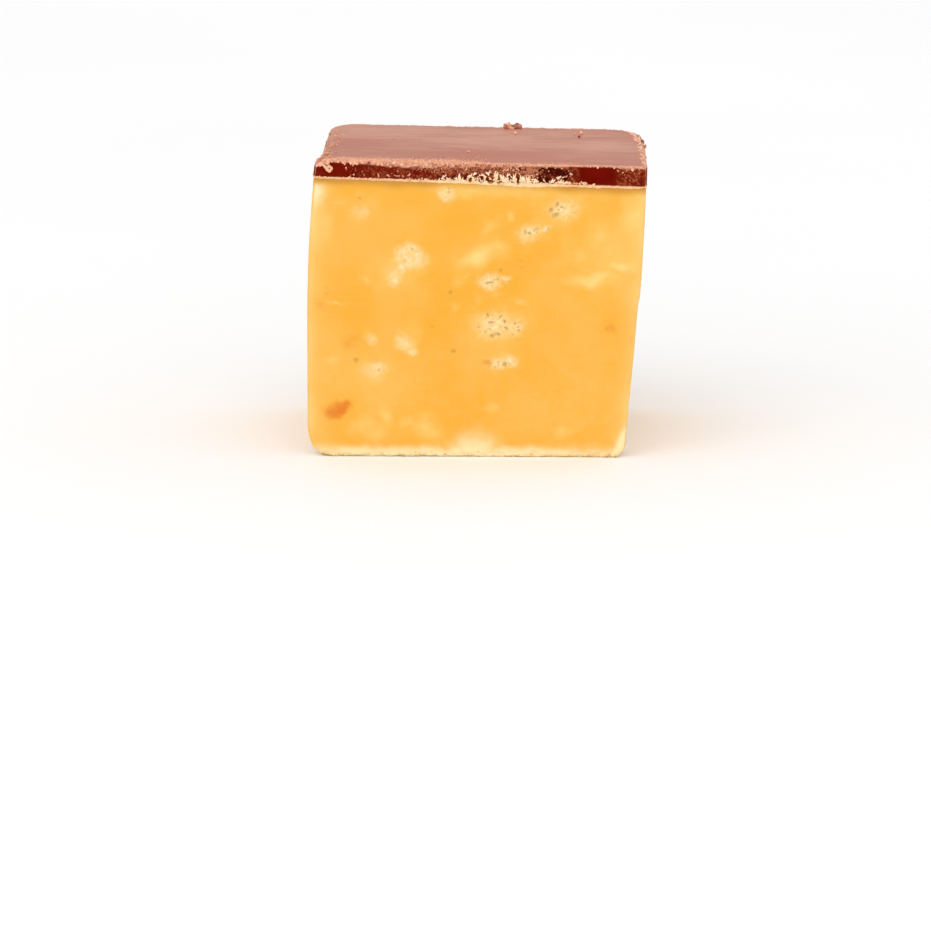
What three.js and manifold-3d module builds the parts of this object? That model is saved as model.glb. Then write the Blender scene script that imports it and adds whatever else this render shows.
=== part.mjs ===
// A cube of butter fudge with a poured chocolate top, cut from its slab with a knife.
// Millimetres, +Z up. The front face looks along -Y and the block stands on its flat base at Z = 0.
// Two solids: the fudge body, and the chocolate layer that runs right across the top of it.
import * as THREE from "three";
import { mergeVertices } from "three/addons/utils/BufferGeometryUtils.js";
import Module from "manifold-3d";

const { lerp, clamp, smoothstep } = THREE.MathUtils;

// The block as the knife left it: wider at the top than at the base, and leaning to the right.
const BASE_WIDTH = 34.8;
const TOP_WIDTH = 35.75;
const DEPTH = 27.3;
const LEAN = 1.575;
const TAPER = { inset: 0.32, over: 0.35 }; // how far the left side steps in, and over how much of the depth
// Height in the middle, and how much lower the right side is than the left.
const FUDGE = { height: 30.48, drop: 1 };
const CHOCOLATE = { height: 32.42, drop: 0.62 };

// How far each cut face swells out, most a little above half way up.
const SWELL = { left: 0.47, right: 0.3, front: 0.12, back: 0.28 };
const SWELL_BIAS = 1.4;
// Upright corners: plan radius at each.
const CORNER = { frontLeft: 0.8, frontRight: 0.55, backLeft: 1.1, backRight: 1.3 };
// Rounding of the base edge, how far up and how far in: large where the left end met the side of its tray.
const BASE_EDGE_RISE = { left: 3.6, right: 1.7, front: 0.85, back: 0.8 };
const BASE_EDGE_INSET = { left: 2, right: 0.9, front: 0.5, back: 0.6 };
const BASE_CORNER = { rise: 1.6, radius: 0.9 };
const KNIFE_WAVE = { height: 0.1, length: 9 };
const KNIFE_STEP = { height: 18.2, drop: 0.12, run: 0.9 }; // right side, where the blade was pushed on

// Chocolate: how far its cut wall stands proud, how rough it broke, and its worn back corners.
const CHOCOLATE_PROUD = 0.08;
const CRAG = { depth: 0.2, length: 1.25 };
const RIM_INSET = { left: 0.4, right: 0.5, front: 0.28, back: 0.4 };
const RIM_DROP = { left: 0.5, right: 0.5, front: 0.3, back: 0.4 };
// The left and right rims grow into wide shoulders towards the back: from and to are places along the side, 0 to 1.
const SHOULDERS = {
  left: { from: 0, to: 0.12, inset: 1.1, drop: 1.7, setBack: 0.04 },
  right: { from: 0.55, to: 1, inset: 1.5, drop: 1.5, setBack: 0 },
};
const WORN_RADIUS = { frontLeft: 0, frontRight: 0, backLeft: 1.2, backRight: 2 };
const WORN_DROP = { frontLeft: 1, frontRight: 1, backLeft: 1.5, backRight: 1.5 };
const FRONT_CAVITY = { from: 7.3, to: 11.7, depth: 0.4 }; // where a flake broke out of the front wall
const CORNER_NICK = { from: 1.2, to: 2.3, depth: 0.3 }; // near the front left corner of the layer

// The heap of crumbs left at the back of the top: its place from -1 to 1 across and along, radius and height.
const CRUMB_HEAP = { across: 0.18, along: 0.97, radius: 1, height: 0.4 };

// Open air bubbles in the paler patches of the front: each patch's place, spread and number.
const BUBBLE_PATCHES = [
  { x: 3.5, height: 14.6, spreadX: 1.7, spreadZ: 1.0, count: 9 },
  { x: 10.2, height: 27.5, spreadX: 0.9, spreadZ: 0.7, count: 4 },
  { x: 6.9, height: 25.0, spreadX: 0.8, spreadZ: 0.4, count: 3 },
  { x: 2.6, height: 19.5, spreadX: 0.6, spreadZ: 0.2, count: 2 },
  { x: 4.3, height: 10.4, spreadX: 0.8, spreadZ: 0.2, count: 2 },
  { x: -2.1, height: 29.2, spreadX: 0.5, spreadZ: 0.4, count: 2 },
];
const BUBBLE_SIZE = 0.42;

// The plan that both solids are drawn on before their walls are shaped: a rectangle with wide corners.
const PLAN = { halfWidth: TOP_WIDTH / 2, halfDepth: DEPTH / 2, radius: 3 };
const FUDGE_STEPS = 120;
const CHOCOLATE_STEPS = 200;

// Seeded value noise: 0 to 1, smooth between whole steps.
function latticeValue(i, j, k) {
  const value = Math.sin(i * 127.1 + j * 311.7 + k * 74.7) * 43758.5453;
  return value - Math.floor(value);
}

function noise(x, y, seed) {
  const i = Math.floor(x);
  const j = Math.floor(y);
  const u = smoothstep(x - i, 0, 1);
  const v = smoothstep(y - j, 0, 1);
  const near = lerp(latticeValue(i, j, seed), latticeValue(i + 1, j, seed), u);
  const far = lerp(latticeValue(i, j + 1, seed), latticeValue(i + 1, j + 1, seed), u);
  return lerp(near, far, v);
}

// 1 inside a span and 0 outside it, with soft ends.
function inSpan(value, { from, to }, soft) {
  return smoothstep(value, from - soft, from + soft) * (1 - smoothstep(value, to - soft, to + soft));
}

function planOutline() {
  const { halfWidth, halfDepth, radius } = PLAN;
  const x = halfWidth - radius;
  const y = halfDepth - radius;
  return new THREE.Path()
    .absarc(x, y, radius, 0, Math.PI / 2)
    .absarc(-x, y, radius, Math.PI / 2, Math.PI)
    .absarc(-x, -y, radius, Math.PI, Math.PI * 1.5)
    .absarc(x, -y, radius, Math.PI * 1.5, Math.PI * 2)
    .lineTo(halfWidth, y);
}

// A point of the plan outline as its place along the sides, 0 to 1, and the way it faces.
function placeOf(point) {
  const x = PLAN.halfWidth - PLAN.radius;
  const y = PLAN.halfDepth - PLAN.radius;
  const inner = new THREE.Vector2(clamp(point.x, -x, x), clamp(point.y, -y, y));
  const out = point.clone().sub(inner).divideScalar(PLAN.radius);
  return {
    across: inner.x / x / 2 + 0.5,
    along: inner.y / y / 2 + 0.5,
    out,
    faceSeed: Math.round(out.x * 3 + out.y),
    frontShare: Math.max(0, -out.y),
  };
}

// The four cut planes at a height, as distances from the axis of the base.
function wallsAt(height) {
  const rise = height / CHOCOLATE.height;
  const swell = Math.sin(Math.PI * rise ** SWELL_BIAS);
  const halfWidth = lerp(BASE_WIDTH, TOP_WIDTH, rise) / 2;
  const { height: stepHeight, drop, run } = KNIFE_STEP;
  const step = drop * (1 - smoothstep(height, stepHeight - run, stepHeight));
  return {
    left: -halfWidth + LEAN * rise - SWELL.left * swell,
    right: halfWidth + LEAN * rise + SWELL.right * swell - step,
    front: -DEPTH / 2 - SWELL.front * swell,
    back: DEPTH / 2 + SWELL.back * swell,
  };
}

// The cut planes as they stand beside a place on the outline.
function wallsBeside({ along }, height) {
  const walls = wallsAt(height);
  return { ...walls, left: walls.left + TAPER.inset * smoothstep(along, 0, TAPER.over) };
}

// A value given for each corner, mixed for a place on the outline.
function mixCorners({ frontLeft, frontRight, backLeft, backRight }, { across, along }) {
  return lerp(lerp(frontLeft, frontRight, across), lerp(backLeft, backRight, across), along);
}

// A value given for each side, mixed by the way the outline faces.
function mixSides({ left, right, front, back }, { out }) {
  return lerp(out.y < 0 ? front : back, out.x < 0 ? left : right, out.x ** 2);
}

// Where a place on the plan outline comes to lie on the four walls, with corners of the given radius.
function onWalls({ left, right, front, back }, radius, { across, along, out }) {
  return new THREE.Vector2(
    lerp(left + radius, right - radius, across) + radius * out.x,
    lerp(front + radius, back - radius, along) + radius * out.y,
  );
}

// Distance along a wall, whichever wall it is.
function alongWall(point, { out }) {
  return point.x * Math.abs(out.y) + point.y * Math.abs(out.x);
}

// Both layers slope down to the right, each by its own drop, and the base stays flat.
function slopedHeight(height, x) {
  const fudgeDrop = FUDGE.drop * Math.min(1, height / FUDGE.height);
  const drop = lerp(fudgeDrop, CHOCOLATE.drop, Math.max(0, (height - FUDGE.height) / (CHOCOLATE.height - FUDGE.height)));
  return height - (drop * x) / TOP_WIDTH;
}

// How far a rounded edge draws in, at a distance from the edge: rise is its height and inset its depth.
function edgeInset(distance, rise, inset) {
  return inset * (1 - Math.sqrt(1 - (1 - clamp(distance / rise, 0, 1)) ** 2));
}

// The four walls drawn in together by an edge that is rounded differently on each side.
function drawnIn({ left, right, front, back }, distance, rises, insets) {
  const inset = (side) => edgeInset(distance, rises[side], insets[side]);
  return {
    left: left + inset("left"),
    right: right - inset("right"),
    front: front + inset("front"),
    back: back - inset("back"),
  };
}

function fudgeWall(place, height) {
  const walls = drawnIn(wallsBeside(place, height), height, BASE_EDGE_RISE, BASE_EDGE_INSET);
  const radius = mixCorners(CORNER, place) + edgeInset(height, BASE_CORNER.rise, BASE_CORNER.radius);
  const point = onWalls(walls, radius, place);
  const wave = noise(alongWall(point, place) / KNIFE_WAVE.length + 40, height / KNIFE_WAVE.length, place.faceSeed);
  return point.addScaledVector(place.out, (wave - 0.5) * KNIFE_WAVE.height);
}

// The rim's drops, insets and set-backs at a place, with the shoulders of the left and right sides grown in.
function rimAt({ along }) {
  const drops = { ...RIM_DROP };
  const insets = { ...RIM_INSET };
  const setBacks = {};
  for (const [side, { from, to, inset, drop, setBack }] of Object.entries(SHOULDERS)) {
    const share = smoothstep(along, from, to);
    drops[side] = lerp(drops[side], drop, share);
    insets[side] = lerp(insets[side], inset, share);
    setBacks[side] = setBack * share;
  }
  return { drops, insets, setBacks };
}

function chocolateWall(place, height) {
  const depth = CHOCOLATE.height - height;
  const worn = edgeInset(depth, mixCorners(WORN_DROP, place), mixCorners(WORN_RADIUS, place));
  const { drops, insets, setBacks } = rimAt(place);
  const walls = drawnIn(wallsBeside(place, height), depth, drops, insets);
  walls.left += setBacks.left;
  walls.right -= setBacks.right;
  const point = onWalls(walls, mixCorners(CORNER, place) + worn, place);
  const along = alongWall(point, place) / CRAG.length;
  const broken = 0.9 * (noise(along, 2, place.faceSeed) - 0.5);
  const rim = broken * edgeInset(depth, mixSides(RIM_DROP, place), mixSides(RIM_INSET, place));
  const crag = CRAG.depth * Math.max(-0.25, noise(along + 60, depth / CRAG.length + 5, place.faceSeed) - 0.35);
  const inCavity = place.frontShare * smoothstep(depth, 0.4, 1.1) * inSpan(point.x, FRONT_CAVITY, 0.6);
  const inNick = place.frontShare * (1 - smoothstep(depth, 0.3, 1.2)) * inSpan(point.x - walls.left, CORNER_NICK, 0.35);
  const inward = rim + crag + FRONT_CAVITY.depth * inCavity + CORNER_NICK.depth * inNick;
  return point.addScaledVector(place.out, CHOCOLATE_PROUD - inward);
}

function crumbHeight(point) {
  const { across, along, radius, height } = CRUMB_HEAP;
  const walls = wallsAt(CHOCOLATE.height);
  const x = lerp(walls.left, walls.right, (across + 1) / 2);
  const y = lerp(walls.front, walls.back, (along + 1) / 2);
  return height * smoothstep(1 - Math.hypot(point.x - x, point.y - y) / radius, 0, 0.7);
}

// A closed skin in rings, from the middle of the top, down the wall, to the middle of the underside.
// Each ring has a height and a reach: 1 on the wall, 0 in the middle.
function ringedGeometry(steps, rings, wall, relief) {
  const outline = planOutline();
  const geometry = new THREE.SphereGeometry(1, steps, rings.length - 1);
  const position = geometry.getAttribute("position");
  const uv = geometry.getAttribute("uv");
  for (let i = 0; i < position.count; i += 1) {
    const ring = rings[Math.round((1 - uv.getY(i)) * (rings.length - 1))];
    const walls = wallsAt(ring.height);
    const middle = new THREE.Vector2((walls.left + walls.right) / 2, 0);
    const place = placeOf(outline.getPointAt(THREE.MathUtils.euclideanModulo(uv.getX(i), 1)));
    const point = wall(place, ring.height).sub(middle).multiplyScalar(ring.reach).add(middle);
    const raised = ring.height === rings[0].height ? relief(point) : 0;
    position.setXYZ(i, point.x, point.y, slopedHeight(ring.height, point.x) + raised);
  }
  return geometry;
}

// Rows of the fudge wall: close together where the base edge rounds, then even.
function fudgeRings() {
  const wallRows = 13;
  const foot = BASE_EDGE_RISE.left;
  const wall = Array.from({ length: wallRows + 1 }, (_, i) => lerp(FUDGE.height, foot, i / wallRows));
  const rounding = [0.62, 0.34, 0.2, 0.11, 0.05, 0.015, 0].map((share) => share * foot);
  return [
    { height: FUDGE.height, reach: 0 },
    ...[...wall, ...rounding].map((height) => ({ height, reach: 1 })),
    { height: 0, reach: 0 },
  ];
}

function chocolateRings() {
  const top = [0, 0.5, 0.8, 0.9, 0.95, 0.98, 1].map((reach) => ({ height: CHOCOLATE.height, reach }));
  const wall = [0.03, 0.09, 0.18, 0.32, 0.5, 0.74, 1].map((share) => ({
    height: lerp(CHOCOLATE.height, FUDGE.height, share),
    reach: 1,
  }));
  return [...top, ...wall, { height: FUDGE.height, reach: 0 }];
}

const wasm = await Module();
wasm.setup();

function toSolid(geometry) {
  const bare = geometry.index ? geometry.toNonIndexed() : geometry.clone();
  bare.deleteAttribute("normal");
  bare.deleteAttribute("uv");
  const merged = mergeVertices(bare, 1e-4);
  return new wasm.Manifold(
    new wasm.Mesh({
      numProp: 3,
      vertProperties: merged.getAttribute("position").array,
      triVerts: new Uint32Array(merged.index.array),
    }),
  );
}

function toGeometry(solid) {
  const mesh = solid.getMesh();
  const geometry = new THREE.BufferGeometry();
  geometry.setAttribute("position", new THREE.BufferAttribute(new Float32Array(mesh.vertProperties), 3));
  geometry.setIndex(new THREE.BufferAttribute(new Uint32Array(mesh.triVerts), 1));
  geometry.computeVertexNormals();
  return geometry;
}

// The hollows that the open bubbles leave, spread over each patch on a spiral.
function* bubbleHollows() {
  for (const [patchIndex, patch] of BUBBLE_PATCHES.entries()) {
    for (let i = 0; i < patch.count; i += 1) {
      const turn = i * 2.4;
      const reach = Math.sqrt((i + 0.5) / patch.count);
      const height = patch.height + Math.sin(turn) * reach * patch.spreadZ;
      const hollow = new THREE.IcosahedronGeometry(0.5 * BUBBLE_SIZE * lerp(0.7, 1.2, latticeValue(i, patchIndex, 7)), 0);
      hollow.rotateY(turn);
      hollow.translate(patch.x + Math.cos(turn) * reach * patch.spreadX, wallsAt(height).front, height);
      yield toSolid(hollow);
    }
  }
}

const fudgeSolid = [...bubbleHollows()].reduce(
  (body, hollow) => body.subtract(hollow),
  toSolid(ringedGeometry(FUDGE_STEPS, fudgeRings(), fudgeWall, () => 0)),
);
const chocolateSolid = toSolid(ringedGeometry(CHOCOLATE_STEPS, chocolateRings(), chocolateWall, crumbHeight));

const fudge = new THREE.Mesh(
  toGeometry(fudgeSolid),
  new THREE.MeshStandardMaterial({ name: "fudge", color: 0xfbba4e, roughness: 0.55 }),
);
fudge.name = "fudge_body";
const chocolate = new THREE.Mesh(
  toGeometry(chocolateSolid),
  new THREE.MeshStandardMaterial({ name: "chocolate", color: 0x6b2a1a, roughness: 0.38 }),
);
chocolate.name = "chocolate_layer";

// The origin is the middle of the whole block's footprint box, on the surface it stands on.
const block = new THREE.Group();
block.add(fudge, chocolate);
const extent = new THREE.Box3().setFromObject(block, true);
const middle = extent.getCenter(new THREE.Vector3());
for (const piece of [fudge, chocolate]) {
  piece.geometry.translate(-middle.x, -middle.y, -extent.min.z);
}

export default block;
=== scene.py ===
"""A cube of butter fudge with a poured chocolate top, its crumbs and a studio, built on the CAD frame."""

import math
import random
from collections import namedtuple

import bmesh
import bpy
from bpy.props import FloatProperty, FloatVectorProperty, IntProperty, PointerProperty
from bpy.types import Operator, Panel, PropertyGroup
from mathutils import Euler, Matrix, Vector, noise
from mathutils.bvhtree import BVHTree


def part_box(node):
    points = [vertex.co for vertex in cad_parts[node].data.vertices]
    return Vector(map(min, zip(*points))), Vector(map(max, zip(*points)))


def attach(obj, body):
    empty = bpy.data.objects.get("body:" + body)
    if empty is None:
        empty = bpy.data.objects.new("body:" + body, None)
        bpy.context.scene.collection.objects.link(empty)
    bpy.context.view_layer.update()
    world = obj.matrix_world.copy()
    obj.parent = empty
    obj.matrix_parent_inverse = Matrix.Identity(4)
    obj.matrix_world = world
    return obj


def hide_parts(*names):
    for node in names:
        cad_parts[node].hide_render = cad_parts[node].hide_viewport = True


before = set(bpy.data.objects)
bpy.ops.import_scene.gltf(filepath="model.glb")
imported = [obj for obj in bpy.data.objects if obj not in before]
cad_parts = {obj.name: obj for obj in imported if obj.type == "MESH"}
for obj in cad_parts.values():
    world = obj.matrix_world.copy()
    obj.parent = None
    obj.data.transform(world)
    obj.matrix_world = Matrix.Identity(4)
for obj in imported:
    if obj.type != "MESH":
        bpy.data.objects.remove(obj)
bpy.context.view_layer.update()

bl_info = {
    "name": "Butter fudge cube",
    "version": (1, 0, 0),
    "blender": (4, 5, 0),
    "location": "3D View > Sidebar > Fudge",
    "description": "Makes a knife-cut cube of butter fudge with a chocolate top, its crumbs and a studio",
    "category": "Object",
}

MM = 0.001
FUDGE_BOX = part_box("fudge_body")

Walls = namedtuple("Walls", "left right front back")
Corners = namedtuple("Corners", "front_left front_right back_left back_right")
Ring = namedtuple("Ring", "height reach")
Place = namedtuple("Place", "across along out")
Shoulder = namedtuple("Shoulder", "start end inset drop set_back")
Wave = namedtuple("Wave", "depth length seed")
# These are placed in millimetres, with tilts in degrees. A strength or a tone is mostly from 0 to 1.
Spot = namedtuple("Spot", "along height width tall tilt strength", defaults=(0, 1))
Spots = namedtuple("Spots", "porous pale brown specks pores")
Shred = namedtuple("Shred", "x depth length thick tilt bend tone", defaults=(0, 0, 0.79))
Speck = namedtuple("Speck", "x depth size tone")
Strewn = namedtuple("Strewn", "left right high low most dark light number")
Cluster = namedtuple("Cluster", "x y size number spread tone")


def rows(kind, values):
    """A table's rows, given as plain ones, with the names of their kind."""
    return [kind(*row) for row in values]


# The block as the knife left it. Sides are taken in this order everywhere: left, right, front, back.
SWELL = Walls(0.47 * MM, 0.3 * MM, 0.12 * MM, 0.28 * MM)
SWELL_BIAS = 1.4
TAPER_INSET = 0.32 * MM
TAPER_OVER = 0.35
CORNER = Corners(0.8 * MM, 0.55 * MM, 1.1 * MM, 1.3 * MM)
BASE_EDGE_RISE = Walls(3.6 * MM, 1.7 * MM, 0.85 * MM, 0.8 * MM)
BASE_EDGE_INSET = Walls(2 * MM, 0.9 * MM, 0.5 * MM, 0.6 * MM)
BASE_CORNER_RISE = 1.6 * MM
BASE_CORNER_RADIUS = 0.9 * MM
KNIFE_STEP_HEIGHT = 18.2 * MM
KNIFE_STEP_DROP = 0.12 * MM
KNIFE_STEP_RUN = 0.9 * MM
RIM_INSET = Walls(0.4 * MM, 0.5 * MM, 0.28 * MM, 0.4 * MM)
RIM_DROP = Walls(0.5 * MM, 0.5 * MM, 0.3 * MM, 0.4 * MM)
SHOULDERS = {
    "left": Shoulder(0, 0.12, 1.1 * MM, 1.7 * MM, 0.04 * MM),
    "right": Shoulder(0.55, 1, 1.5 * MM, 1.5 * MM, 0),
}
WORN_RADIUS = Corners(0, 0, 1.2 * MM, 2 * MM)
WORN_DROP = Corners(1 * MM, 1 * MM, 1.5 * MM, 1.5 * MM)
PLAN_RADIUS = 3 * MM
BOX_LEVELS = 80
FUDGE_SEGMENTS = 440
CHOCOLATE_SEGMENTS = 1200

# Each upright face: the direction that "along" runs in, and the direction it looks in.
FACES = {
    "front": (Vector((1, 0, 0)), Vector((0, -1, 0))),
    "right": (Vector((0, 1, 0)), Vector((1, 0, 0))),
    "back": (Vector((-1, 0, 0)), Vector((0, 1, 0))),
    "left": (Vector((0, -1, 0)), Vector((-1, 0, 0))),
}
FACE_SEEDS = {"front": 2.0, "right": 7.0, "back": 13.0, "left": 19.0}

# Where the vector noise starts. Without a seed it starts at another place each time.
NOISE_SEED = 4

# The relief of the cut fudge: how deep its waves and drag lines are, and how deep each kind of spot goes.
SWAY = Wave(0.035 * MM, 6 * MM, 3)
DRAG_LINES = Wave(0.010 * MM, 0.7 * MM, 5)
DRAG_STRETCH = 0.12
FOOT_TEAR = 0.13 * MM
CREAM_SINK = 0.03 * MM
CREAM_GRAIN = Wave(0.05 * MM, 0.3 * MM, 7)
PIT_DEPTH = 0.16 * MM
SPECK_DEPTH = 0.03 * MM
FOLD_HEIGHT = 0.12 * MM

# Creamy spots full of open air bubbles on the front: along, height, width, tall, tilt, strength.
POROUS = rows(Spot, (
    (-3.2, 29.1, 1.9, 1.7), (9.5, 27.3, 3.5, 2.5, 10, 0.84), (5.7, 24.8, 2.9, 1.9, 12, 0.82),
    (7.3, 25.15, 2.0, 1.0, 22, 0.7), (-7.3, 22.2, 3.1, 2.3, -10, 1.15), (1.5, 19.5, 2.5, 1.7, 5),
    (3.2, 19.7, 1.8, 0.7, 8, 0.75), (2.1, 14.7, 4.0, 2.9, 0, 0.88), (4.2, 14.5, 2.4, 2.1, 0, 0.78),
    (2.2, 10.4, 2.5, 1.3, 0, 0.82), (3.7, 10.6, 1.5, 1.2),
))
# Creamy spots without bubbles.
CREAMY = rows(Spot, (
    (-8.9, 19.8, 2.1, 2.5, 12, 0.78), (-8.2, 21.1, 2.0, 1.6, 60, 0.8), (-7.9, 12.9, 2.7, 2.0, -40, 0.8),
    (-7.0, 11.8, 1.8, 1.1, -20, 0.8), (-11.0, 9.8, 2.5, 2.0, 0, 0.8), (-12.4, 27.1, 3.1, 1.9, 15, 0.62),
    (-11.4, 12.9, 1.4, 1.2, 0, 0.66),
))
# Open bubbles that the knife sliced through.
BUBBLES = rows(Spot, (
    (8.7, 28.0, 0.55, 0.3, 65), (8.1, 27.4, 0.6, 0.4, 80), (8.6, 26.8, 0.8, 0.4, 30),
    (9.2, 27.7, 0.35, 0.2, -20), (10.3, 27.4, 0.3, 0.2, 40, 0.5), (5.3, 25.0, 0.2, 0.5, 0),
    (5.8, 24.8, 0.35, 0.25, -30), (6.2, 25.1, 0.3, 0.2, 20, 0.8), (6.6, 24.9, 0.25, 0.2, 0, 0.7),
    (1.4, 19.4, 0.95, 0.22, 8), (1.9, 19.7, 0.3, 0.16, 0, 0.7), (3.1, 10.4, 0.4, 0.42, 0),
    (2.4, 10.3, 0.35, 0.2, 0, 0.7), (-3.0, 29.2, 0.45, 0.25, 60, 0.6), (-6.5, 22.1, 0.25, 0.4, 20, 0.5),
    (-7.0, 21.8, 0.3, 0.25, 0, 0.5), (1.3, 15.8, 0.3, 0.45, 20, 0.9), (2.6, 15.6, 0.25, 0.5, -30, 0.9),
    (1.6, 15.0, 0.6, 0.3, -10), (3.1, 15.1, 0.3, 0.4, 10), (3.2, 14.4, 0.35, 0.25, -30),
    (0.2, 14.5, 0.3, 0.25, 0, 0.7), (1.5, 14.3, 0.5, 0.22, -10, 0.7), (2.4, 13.7, 0.5, 0.3, -25),
    (1.7, 13.5, 0.5, 0.35, 10), (-10.6, 9.7, 0.2, 0.35, 0, 0.8),
))
# Soft paler patches where the sugar set finer.
PALE = rows(Spot, (
    (-7.3, 12.9, 2.6, 2.6, -35, 0.6), (-6.8, 13.2, 0.8, 1.8, 10, 0.6), (-11.2, 9.3, 2.4, 2.4, 0, 0.75),
    (0.1, 22.2, 3.0, 1.4, 24, 1.3), (0.8, 22.5, 5.4, 1.9, 24, 0.7), (2.4, 23.3, 2.0, 1.0, 20, 0.9),
    (-1.7, 19.7, 1.4, 1.3, 0, 0.6), (-0.8, 20.2, 0.6, 0.6, 0, 0.6), (-11.6, 13.2, 1.2, 1.1, 0, 0.6),
    (-14.5, 28.2, 1.7, 1.5, 20, 0.45), (-12.4, 27.1, 3.4, 1.9, 25, 0.45), (-12.6, 28.9, 1.4, 0.9, 0, 0.4),
    (-9.3, 20.6, 3.4, 2.0, 60, 0.75), (-8.0, 21.8, 3.2, 2.6, 20, 0.8), (1.3, 25.3, 2.2, 1.2, 40, 0.6),
    (3.5, 26.6, 0.8, 0.6, 0, 0.7), (2.5, 18.4, 1.3, 0.6, 0, 0.6), (4.6, 17.4, 1.5, 0.6, -20, 0.7),
    (0.0, 17.4, 0.8, 1.1, 0, 0.6), (-2.3, 16.9, 1.1, 0.7, 0, 0.6), (2.4, 12.3, 1.4, 0.6, 0, 0.6),
    (-12.0, 19.7, 0.8, 0.6, 0, 0.7), (-15.5, 10.9, 1.2, 0.8, 10, 0.7), (-16.6, 25.3, 1.8, 3.6, 0, 0.45),
    (13.2, 24.6, 3.4, 2.8, 20, 0.75), (15.6, 21.2, 3.6, 1.4, 0, 1.2), (12.8, 19.8, 5.4, 1.4, 3, 1.1),
    (17.0, 26.4, 2.6, 4.0, 0, 0.9), (11.3, 22.4, 2.8, 2.0, 30, 0.6), (14.2, 22.4, 9.0, 8.0, 0, 0.55),
    (9.3, 2.9, 2.4, 1.2, 0, 0.75), (1.5, 5.5, 1.4, 1.0, 0, 0.8), (-9.8, 4.7, 1.4, 2.6, 20, 0.85),
    (-12.2, 3.4, 3.4, 2.2, 0, 0.72), (-10.6, 2.7, 2.4, 1.4, 30, 0.78), (-5.4, 3.3, 3.6, 2.4, -30, 0.85),
    (-7.6, 4.2, 1.8, 1.6, 0, 0.7), (-15.1, 17.0, 2.0, 0.3, 0, 0.9), (6.2, 28.4, 1.6, 0.6, 0, 0.5),
    (-10, 7, 13, 9, 0, 0.34), (10, 6, 14, 9, 0, 0.34), (2.4, 14.6, 7.0, 4.0, 0, 0.6),
    (9.6, 27.2, 5.2, 3.6, 10, 0.7), (2.7, 10.5, 4.2, 2.0, 0, 0.6), (1.4, 29.75, 11.5, 1.5, -1.5, 0.9),
    (6.3, 25.0, 4.2, 2.4, 10, 0.6), (-7.9, 21.4, 4.4, 3.4, 30, 0.7),
))
# Brown flecks and faint stains, and small dark specks.
BROWN = rows(Spot, (
    (-15.2, 5.5, 2.6, 1.3, 28, 0.85), (-14.95, 5.62, 1.4, 0.55, 32, 1.3), (14.1, 14.6, 1.8, 1.8, 0, 0.52),
    (-13.6, 13.0, 2.8, 1.9, 0, 0.42), (-16.1, 18.2, 1.2, 0.8, 30, 0.45), (5.2, 22.1, 1.1, 0.7, 0, 0.42),
    (5.3, 21.1, 1.1, 0.6, 0, 0.42), (0.8, 10.3, 1.0, 0.6, 0, 0.55), (-16.4, 17.0, 1.4, 0.8, 0, 0.45),
))
SPECKS = rows(Spot, (
    (-2.5, 11.8, 0.6, 0.42, 20), (-2.8, 18.3, 0.4, 0.45), (-13.1, 10.8, 0.55, 0.5), (2.7, 20.8, 0.5, 0.4),
    (-12.6, 28.7, 0.4, 0.28), (-4.8, 14.5, 0.5, 0.5, 0, 0.7), (-13.0, 10.3, 0.3, 0.3, 0, 0.7),
    (6.3, 6.2, 0.8, 0.16, 45, 0.7), (8.9, 7.4, 0.9, 0.16, 30, 0.7), (-16.2, 18.9, 0.3, 0.6, 0, 0.7),
))
# The painted glow that rises from the foot of the front, and the pale corner under its left end.
FOOT_GLOW = [Spot(-0.4, 0.2, 6.4, 5.6)]
PALE_CORNER = [Spot(-18.2, 29.6, 4, 3.4)]

# The crumbly band along the front's upper edge: how wide it lies on the top and on the wall, by place.
RIM_ON_TOP = (
    (-17.2, 0.9), (-16.3, 2.7), (-12, 2.9), (-9, 2.5), (-5, 2.4), (-3, 2.6), (0, 1.5), (2, 0.5), (9, 0.5),
    (10.5, 0.25), (18, 0.25),
)
RIM_ON_WALL = (
    (-17, 0.3), (-16, 0.12), (-13, 0.2), (-10, 0.42), (-6, 0.6), (-4, 0.58), (-1, 0.48), (2, 0.42),
    (4, 0.38), (5.5, 0.24), (6.5, 0.22), (8, 0.26), (10.5, 0.1), (14.5, 0.08), (16, 0.26), (18, 0.26),
)
# How crumbly the front's cut wall is: 0 where the knife cut clean.
CRUMBLED = (
    (-18, 0.3), (-16.5, 0.15), (-13.2, 0.12), (-11.5, 0.36), (-8, 0.36), (-5.4, 0.28), (-4.2, 1), (6.8, 1),
    (10.6, 0.55), (11.4, 0.02), (14.6, 0.04), (15.6, 0.55), (18, 0.55),
)
# Painted sheen on the top: places lighter with more sheen, and redder, darker places with less: across,
# along, width, length, tilt, strength.
TOP_SHEEN = rows(Spot, (
    (-10, 8.5, 15, 8), (0.5, 3.5, 13, 9, 0, 0.9), (13.5, 0.5, 11, 6, -4), (2, 9.5, 16, 5, 0, 0.8),
    (10.5, -6.5, 12, 3, 0, 0.55),
))
TOP_LOW_SHEEN = rows(Spot, (
    (2, -6.8, 17, 5, 0, 1.15), (-2, -10.5, 14, 5, 0, 0.9), (-12.5, -0.5, 8, 6, 20, 0.7),
    (8, -10.5, 12, 3, 0, 0.6),
))
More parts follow.
